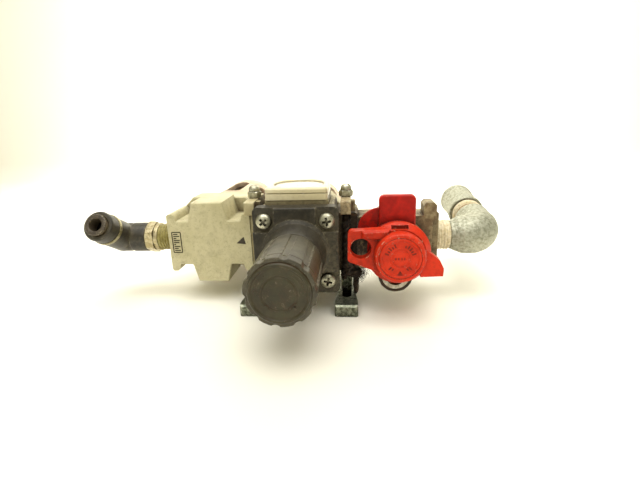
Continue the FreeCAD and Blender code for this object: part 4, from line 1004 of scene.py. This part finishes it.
# %% Thread and tape shapes
PITCH = 25.4 / 19
PIPE_R, PORT_R = 6.58, 6.62      # crest of a pipe's thread, and the hole that takes it


def thread_wave(h, t):
    """0 at a thread's root line and 1 at its crest line, for height h and angle t."""
    return np.abs(((h / PITCH - t / (2 * np.pi)) % 1.0) - 0.5) * 2


def threaded(start, stop, depth=0.75):
    """Radius function for a thread between two heights; its crests are at the profile's own radius."""
    def shape(r, h, t):
        wave = thread_wave(h, t)
        inside = step_up(h, start, start + 0.8) * step_up(-h, -stop, -stop + 0.8)
        return np.where(r > 5.9, r - depth * step_up(wave, 0.12, 0.88) * inside, r)
    return shape


def rough_sum(a, b, seed):
    """A smooth bumpy value: seven waves of a (angle, whole turns) and b (length), with fixed phases."""
    k = np.arange(1, 8)
    phase = np.sin(k * 12.9898 + seed * 78.233) * 43758.5453
    turns = np.array([1, 2, 3, 5, 8, 13, 21])
    waves = np.sin(turns * a[..., None] + (0.7 + 0.9 * k) * b[..., None] + phase)
    return (waves / np.sqrt(k)).sum(-1) / 3.2


def taped(name, start, axis, base, length, seed, proud=0.5):
    """Wound tape: a closed sleeve whose radius is base plus steps that wind round, plus bumps."""
    h = np.linspace(0, length, int(length / 0.12))
    inner = base - 0.8
    line = np.vstack([[(inner, 0)], np.stack([base + 0 * h, h], 1), [(inner, length)]])

    def shape(r, h, t):
        turn = (h / 2.6 - t / (2 * np.pi)) % 1.0
        ends = step_up(h, 0.0, 0.9) * step_up(-h, -length, -length + 0.9)
        ridge = thread_wave(h, t)
        bumps = 0.10 * rough_sum(t, h * 2.0, seed) + 0.16 * turn - 0.20 * step_up(ridge, 0.2, 0.9)
        return np.where(r > inner + 0.1, inner + 0.3 + (base - inner - 0.3 + proud * 0.4 + bumps) * ends, r)
    return turned(name, line, start, axis, 144, shape, closed=True)


print("pitch", round(PITCH, 3), "mm")

# %% [markdown]
# ## Outlet end: plated stud and push-in elbow
# The stud is nickel-plated brass: a hexagon, a shoulder ring, and a thread
# that came with sealant already on it. The black elbow turns on the stud. Its
# collar is pressed in to let the tube go, and its edge is serrated for grip.

# %% Stud, elbow, band and collar
THREAD_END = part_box("fitting_stud")[1][0] / MM


def hexagon_radius(r, h, t):
    """Across flats: 7 / cos(d), with d the angle from the flat's middle, never past the chamfer's r."""
    d = (t + math.pi / 6) % (math.pi / 3) - math.pi / 6
    return np.where(r > 6.4, np.minimum(r, 7.0 / np.cos(d)), r)


hex_line = spaced(soft([(0, 0), (7.3, 0), (8.2, 0.6), (8.2, 3.4), (7.3, 4.0), (0, 4.0)], 0.15,
                       closed=False), 0.7)
bar = turned("hex_bar", hex_line, at(-78.0, 0, 0), RIGHT, 192, hexagon_radius)
journal = soft([(2.4, 0), (4.9, 0), (4.9, 9.9), (2.4, 9.9)], 0.3)
journal = turned("journal", journal, at(-87.8, 0, 0), RIGHT, 64, closed=True)
collar = turned("collar", soft([(0, 0), (6.7, 0), (7.0, 0.4), (7.0, 1.9), (6.7, 2.3), (0, 2.3)], 0.2,
                               closed=False), at(-74.1, 0, 0), RIGHT, 96)
fit(joined("stud_hexagon", [bar, journal, collar]), "frame", "stud_nickel", nickel_brass, "fitting_stud")
line = spaced(soft([(0, 0), (6.2, 0), (PIPE_R, 0.7), (PIPE_R, 19.0), (0, 19.0)], 0.2, closed=False), 0.12)
fit(turned("stud_thread", line, at(THREAD_END, 0, 0), -RIGHT, 120, threaded(0.6, 18.8, 0.4)), "frame",
    "stud_nickel", thread_seal)
fit(eased("elbow_fitting", "push_in_elbow", 0.4), "elbow", "elbow_pbt", elbow_pbt, "elbow_fitting")
band = soft([(6.15, 14.65), (7.3, 14.65), (7.5, 14.95), (7.5, 16.25), (7.3, 16.55), (6.15, 16.55)], 0.2)
fit(turned("elbow_band", band, ELBOW_CORNER, LEG_WAY, 120, closed=True), "elbow", "ring_brass", brass_band,
    "elbow_ring")


def serrated(r, h, t):
    """Thirty teeth round the collar's lip, 0.22 mm deep, as a rounded square wave."""
    return np.where(r > 4.35, r - 0.22 * step_up(np.sin(30 * t), -0.5, 0.5), r)


lip = soft([(3.02, 18.4), (4.3, 18.4), (4.3, 23.6), (5.2, 23.85), (5.2, 24.6), (4.85, 25.0), (3.3, 25.0),
            (3.02, 24.7)], 0.2)
fit(turned("release_lip", lip, ELBOW_CORNER, LEG_WAY, 360, serrated, closed=True), "bushing",
    "bushing_acetal", bushing_acetal, "release_bushing")

# %% [markdown]
# ## Supply end: galvanised elbow, nipple and coupling
# A malleable-iron street elbow is cast, then dipped in molten zinc, so its
# skin is lumpy at the scale of a millimetre and its bands are soft. The tube
# follows a quarter circle, and the radius along it changes from thread to
# body to band.

# %% Galvanised elbow
CORNER_X = (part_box("pipe_nipple")[0][0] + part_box("pipe_nipple")[1][0]) / 2 / MM
BEND = 8.6


def along(s):
    """Point of the supply run s mm behind the elbow's corner."""
    return at(CORNER_X, 0, 0) + SUPPLY_WAY * s * MM


a = np.radians(np.linspace(0, 90, 26))
run_in = np.stack([np.linspace(70.4, CORNER_X - BEND, 40)[:-1], np.zeros(39)], 1)
arc = np.stack([CORNER_X - BEND + BEND * np.sin(a), BEND - BEND * np.cos(a)], 1)
run_out = np.stack([np.full(39, CORNER_X), np.linspace(BEND, 19.6, 40)[1:]], 1)
line = np.vstack([run_in, arc, run_out])
gone = np.concatenate([[0], np.cumsum(np.linalg.norm(np.diff(line, axis=0), axis=1))])
total = gone[-1]
radius = np.interp(gone, [0, 0.5, 1.4, 3.2, 6.0, 10.5, 15.5, total - 7.5, total - 4.0, total - 0.6, total],
                   [6.4, 6.9, 7.1, 8.0, 9.0, 9.5, 9.55, 8.9, 8.75, 8.9, 8.5])
path = at(0, 0, 0) + (line[:, :1] * RIGHT + line[:, 1:] * SUPPLY_WAY) * MM


def casting_lumps(t, s):
    """Lumps of zinc: a share of the radius, from the rough sum, about 0.15 mm high."""
    t, s = np.broadcast_arrays(t, s)
    return 1 + 0.010 * rough_sum(t, s * 0.21, 3) + 0.006 * rough_sum(3 * t, s * 0.55, 8)


elbow = swept("street_elbow_casting", path, radius, 96, casting_lumps)
mouth = turned("mouth", [(0, 0), (PORT_R, 0), (PORT_R, 12.0), (0, 12.0)], along(9.0), SUPPLY_WAY, 64)
fit(carved(elbow, mouth), "frame", "galvanised_iron", galvanised, "street_elbow")
line = spaced(soft([(4.5, 0), (6.28, 0), (PIPE_R, 0.8), (PIPE_R, 19.4), (4.5, 19.4)], 0.15), 0.12)
fit(turned("elbow_thread", line, at(51.8, 0, 0), RIGHT, 120, threaded(0.8, 18.8), closed=True), "frame",
    "nipple_iron", nipple_iron)
fit(taped("elbow_tape", at(62.6, 0, 0), RIGHT, 6.75, 8.4, 5), "frame", "nipple_iron", thread_tape)

# %% [markdown]
# The nipple is a short pipe with a thread at each end, and the coupling is a
# sleeve with a raised band at each mouth and a tapped hole for the supply
# pipe. The hole's thread is the same helix, cut outwards. The tape was wound
# twice: brown with dope beside the elbow, clean and fat beside the coupling.

# %% Nipple and coupling
line = spaced(soft([(4.5, 9.0), (6.4, 9.0), (PIPE_R, 9.6), (PIPE_R, 39.6), (6.4, 40.0), (4.5, 40.0)], 0.15),
              0.14)
fit(turned("nipple_thread", line, along(0), SUPPLY_WAY, 120, threaded(9.6, 39.4), closed=True), "frame",
    "nipple_iron", nipple_iron, "pipe_nipple")
fit(taped("nipple_dope", along(19.5), SUPPLY_WAY, 6.8, 6.2, 11, 0.3), "frame", "nipple_iron", doped_tape)
fit(taped("nipple_tape", along(24.8), SUPPLY_WAY, 7.5, 4.7, 17, 0.8), "frame", "nipple_iron", thread_tape)


def coupling_radius(r, h, t):
    """Zinc lumps outside; inside the far half, thread grooves that reach 0.5 mm outwards."""
    wave = thread_wave(h, t)
    tapped = 0.5 * step_up(wave, 0.15, 0.85) * step_up(h, 44.0, 45.0) * step_up(-h, -53.4, -52.6)
    lumps = 0.10 * rough_sum(t, h * 0.9, 2) + 0.06 * rough_sum(3 * t, h * 2.1, 6)
    return np.where(r > 8.0, r - 0.1 + lumps * (r > 8.3) * 0.8,
                    np.where(np.abs(r - PORT_R) < 0.01, r + tapped, r))


line = [(PORT_R, 29.4), (8.8, 29.4), (9.2, 30.0), (9.2, 32.6), (8.7, 33.6), (8.7, 49.6), (9.2, 50.8),
        (9.2, 53.4), (8.8, 54.0), (7.3, 54.0), (PORT_R, 53.3), (PORT_R, 43.6), (5.7, 42.8), (5.7, 41.2),
        (PORT_R, 40.4)]
line = spaced(np.vstack([soft(line, 0.5, steps=5), line[:1]]), 0.16)[:-1]
fit(turned("coupling_casting", line, along(0), SUPPLY_WAY, 96, coupling_radius, closed=True), "frame",
    "galvanised_iron", galvanised, "pipe_coupling")

# %% [markdown]
# ## Spot face round the relief port
# The relief port below the lock-out knob is taken to be faced by a cutter after
# painting, so that bare aluminium shows as a bright ring inside a dirty rim.

# %% Relief port face
RELIEF_Y, RELIEF_Z = -19.3, -13.9      # the port's face and its axis, from the port axis
ring = soft([(4.45, 0), (6.2, 0), (6.2, 0.12), (4.45, 0.12)], 0.03)
fit(turned("relief_spot_face", ring, at(LOCK_X, RELIEF_Y - 0.06, RELIEF_Z), -BACK, 96, closed=True),
    "frame", "valve_enamel", faced_aluminium)

# %% [markdown]
# ## Leaked oil, dust and lint
# Oil creeps out at the joint between regulator and valve, and shop dust cakes
# on it. The dark cake also fills the gap where it lies in shade, and what shows
# through the lock-out knob's hole, so it is partly painted shade. The cake is a
# low lumpy shell: an ellipsoid flattened on the castings, whose radius follows a
# sum of waves. Lint is 230 loose fibres: each is a thin three-sided tube along a
# curved line.

# %% Grease and lint


def cake(name, middle, half, seed, rough=0.28):
    """Ellipsoid with half sizes half (mm); each direction's radius is multiplied by 1 + rough x waves."""
    up = np.linspace(0, np.pi, 42)[:, None]
    round_ = np.linspace(0, 2 * np.pi, 64, endpoint=False)[None, :]
    a, b = np.broadcast_arrays(round_, up)
    broad = rough * rough_sum(a, 5 * b, seed) * np.sin(b)
    fine = 0.5 * rough * rough_sum(2 * a, 11 * b, seed + 1) * np.sin(b)
    swell = 1 + broad + fine
    way = np.stack([np.sin(b) * np.cos(a), np.sin(b) * np.sin(a), np.cos(b)], -1)
    points = middle + way * swell[..., None] * np.asarray(half) * MM
    return piece(name, points.reshape(-1, 3), grid_faces(42, 64))


# Dark lumps in the gap and behind the lock-out knob's hole: grease, and painted shade there too.
lumps = [cake(f"cake_{k}", at(x, y, z), half, seed)
         for k, (x, y, z, half, seed) in enumerate([
             (21.7, -12.6, 8.5, (1.9, 3.2, 6.0), 1), (22.2, -13.2, -1.0, (2.3, 3.4, 7.5), 4),
             (22.8, -13.6, -10.5, (3.0, 3.0, 5.6), 7), (25.6, -14.2, -13.6, (2.7, 2.6, 3.0), 9),
             (20.6, -12.8, -15.0, (1.6, 2.4, 3.0), 12), (26.4, -16.4, -8.2, (1.6, 1.0, 2.6), 15),
             (26.0, -13.4, -20.0, (1.3, 2.2, 5.0), 18)])]


def dirty_rim(r, h, t):
    """A rope of dirt whose radius wanders by 0.25 mm round the ring."""
    return r + 0.25 * rough_sum(t, h, 5) * (r > 6.6)


rope = soft([(6.3, -0.5), (7.4, -0.7), (7.75, 0.1), (7.3, 0.5), (6.4, 0.35)], 0.3)
lumps.append(turned("rim_dirt", rope, at(LOCK_X, RELIEF_Y, RELIEF_Z), -BACK, 96, dirty_rim, closed=True))
fit(joined("grease_and_shade_cake", lumps), "frame", "jaw_enamel", old_grease)


def fibres(name, middle, count, spread, long, radius, seed):
    """Fibre k runs along p + s d + bend (s^2 - s) n, with s from 0 to 1 and seeded p, d and n."""
    draw = np.random.default_rng(seed)
    s = np.linspace(0, 1, 7)[None, :, None]
    p = middle + draw.normal(size=(count, 1, 3)) * np.asarray(spread) * MM
    d = draw.normal(size=(count, 1, 3)) * [0.5, 0.5, 1.0]
    d = d / np.linalg.norm(d, axis=2, keepdims=True) * draw.uniform(0.5, 1.0, (count, 1, 1)) * long * MM
    n = np.cross(d, draw.normal(size=(count, 1, 3)))
    n = n / np.linalg.norm(n, axis=2, keepdims=True)
    line = p + (s - 0.5) * d + draw.uniform(0.6, 1.6, (count, 1, 1)) * (s * s - s) * n * long * MM
    side = np.cross(d, n)
    side = side / np.linalg.norm(side, axis=2, keepdims=True)
    t = np.radians([90, 210, 330])
    ring = np.cos(t)[:, None] * n[:, :, None] + np.sin(t)[:, None] * side[:, :, None]
    thick = np.array([0.15, 0.8, 1, 1, 1, 0.8, 0.15])[None, :, None, None]
    points = line[:, :, None] + ring * thick * radius * MM
    faces = np.concatenate([grid_faces(7, 3, k * 21) for k in range(count)])
    ends = np.arange(count)[:, None] * 21
    caps = np.concatenate([ends + [2, 1, 0], ends + [18, 19, 20]])
    return piece(name, points.reshape(-1, 3), faces.tolist() + caps.tolist())


tufts = [fibres("tuft_0", at(28.0, -15.0, -14.0), 170, (1.0, 0.9, 1.2), 6.4, 0.06, 3),
         fibres("tuft_1", at(22.4, -16.0, 1.0), 60, (0.8, 0.5, 6.0), 3.6, 0.045, 8)]
fit(joined("caught_lint", tufts), "frame", "jaw_enamel", lint_fibre)

# %% [markdown]
# ## Finishes for the CAD parts that stay
# Parts that hide inside keep their CAD shape, which is right, and get the
# finish of what they are made of.

# %% Inner parts
INNER = {"adjusting_screw": turned_brass, "spring_seat": turned_brass, "diaphragm": seal_rubber,
         "valve_stem": turned_brass, "lockout_spool": spool_aluminium, "spacer_seals": seal_rubber,
         "bracket_screws": bright_zinc, "tube_seal": seal_rubber}
for node, finish in INNER.items():
    frame["nodes"][node].data.materials.clear()
    frame["nodes"][node].data.materials.append(finish)
bare = [name for name, node in frame["nodes"].items() if not node.hide_render and name not in INNER]
print("CAD nodes still without a finish:", bare)

# %% [markdown]
# ## Floor, light and camera
# The row lies on a white table in front of a white wall. A large soft box above
# and a little in front makes the tops brighter than the fronts. A weak one in
# front lifts the knobs, and a third with a narrow grid lights the wall alone.
# The sky is a pale yellow, which only shadows show, because it is weak. The
# floor and wall are one sheet with a bend.

# %% Sheet, soft box and sky
sheet_paint = bpy.data.materials.new("matt_white_table")
sheet_paint.use_nodes = True
tree = sheet_paint.node_tree
mottle = noise(tree, add(tree, "ShaderNodeTexCoord").outputs["Object"], 260, 2.0)
tone = blend_colour(tree, mottle, linear("#fdfcf5"), linear("#f9f6ea"))
tree.links.new(tone, tree.nodes["Principled BSDF"].inputs["Base Color"])
tree.nodes["Principled BSDF"].inputs["Roughness"].default_value = 0.6
tree.nodes["Principled BSDF"].inputs["Specular IOR Level"].default_value = 0.2
WALL_Y = 0.44
a = np.radians(np.linspace(0, 90, 16))
bend = np.vstack([[(-1.6, 0.0)], np.stack([WALL_Y - 0.03 + 0.03 * np.sin(a), 0.03 - 0.03 * np.cos(a)], 1),
                  [(WALL_Y, 1.4)]])
across_x = np.linspace(-1.8, 1.8, 9)
points = np.stack([np.broadcast_to(across_x, (len(bend), 9)), np.repeat(bend[:, :1], 9, 1),
                   np.repeat(bend[:, 1:], 9, 1)], -1).reshape(-1, 3)
cell = (np.arange(len(bend) - 1)[:, None] * 9 + np.arange(8)).reshape(-1, 1)
mesh = bpy.data.meshes.new("table_and_wall")
mesh.from_pydata(points.tolist(), [], (cell + [0, 1, 10, 9]).tolist())
mesh.shade_smooth()
mesh.materials.append(sheet_paint)
linked("table_and_wall", mesh)

sky = bpy.data.worlds.new("pale_studio")
sky.use_nodes = True
sky.node_tree.nodes["Background"].inputs["Color"].default_value = linear("#fff9d6")
sky.node_tree.nodes["Background"].inputs["Strength"].default_value = 0.40
bpy.context.scene.world = sky


def soft_box(name, place, aim, size, watts, spread=180, colour="#fffdf8"):
    """A square area light at place that faces aim; spread is the angle its grid lets out."""
    lamp = bpy.data.lights.new(name, "AREA")
    lamp.shape, lamp.size, lamp.energy = "SQUARE", size, watts
    lamp.color, lamp.spread = linear(colour)[:3], math.radians(spread)
    made = linked(name, lamp)
    made.location = place
    made.rotation_euler = (Vector(aim) - Vector(place)).to_track_quat("-Z", "Y").to_euler()
    return made


soft_box("overhead_soft_box", (0.02, -0.16, 0.72), (0.0, 0.0, 0.0), 0.85, 6.7)
soft_box("front_fill", (-0.30, -0.80, 0.45), (0.0, 0.0, 0.03), 0.5, 0.45)
soft_box("wall_wash", (0.0, 0.22, 0.60), (0.0, 0.46, 0.12), 0.6, 2.4, 70)

# %% Camera
camera = bpy.data.cameras.new("bench_camera")
camera.lens, camera.sensor_width, camera.sensor_fit = 23.23, 36.0, "HORIZONTAL"
camera.clip_start = 0.01
view = linked("bench_camera", camera)
view.location = (0.02442, -0.19576, PORT_Z + 0.05605)
view.rotation_euler = [math.radians(angle) for angle in (73.406, 1.676, 4.173)]
bpy.context.scene.camera = view
bpy.context.scene.view_settings.view_transform = "Standard"
print("camera at", [round(v, 3) for v in view.location])
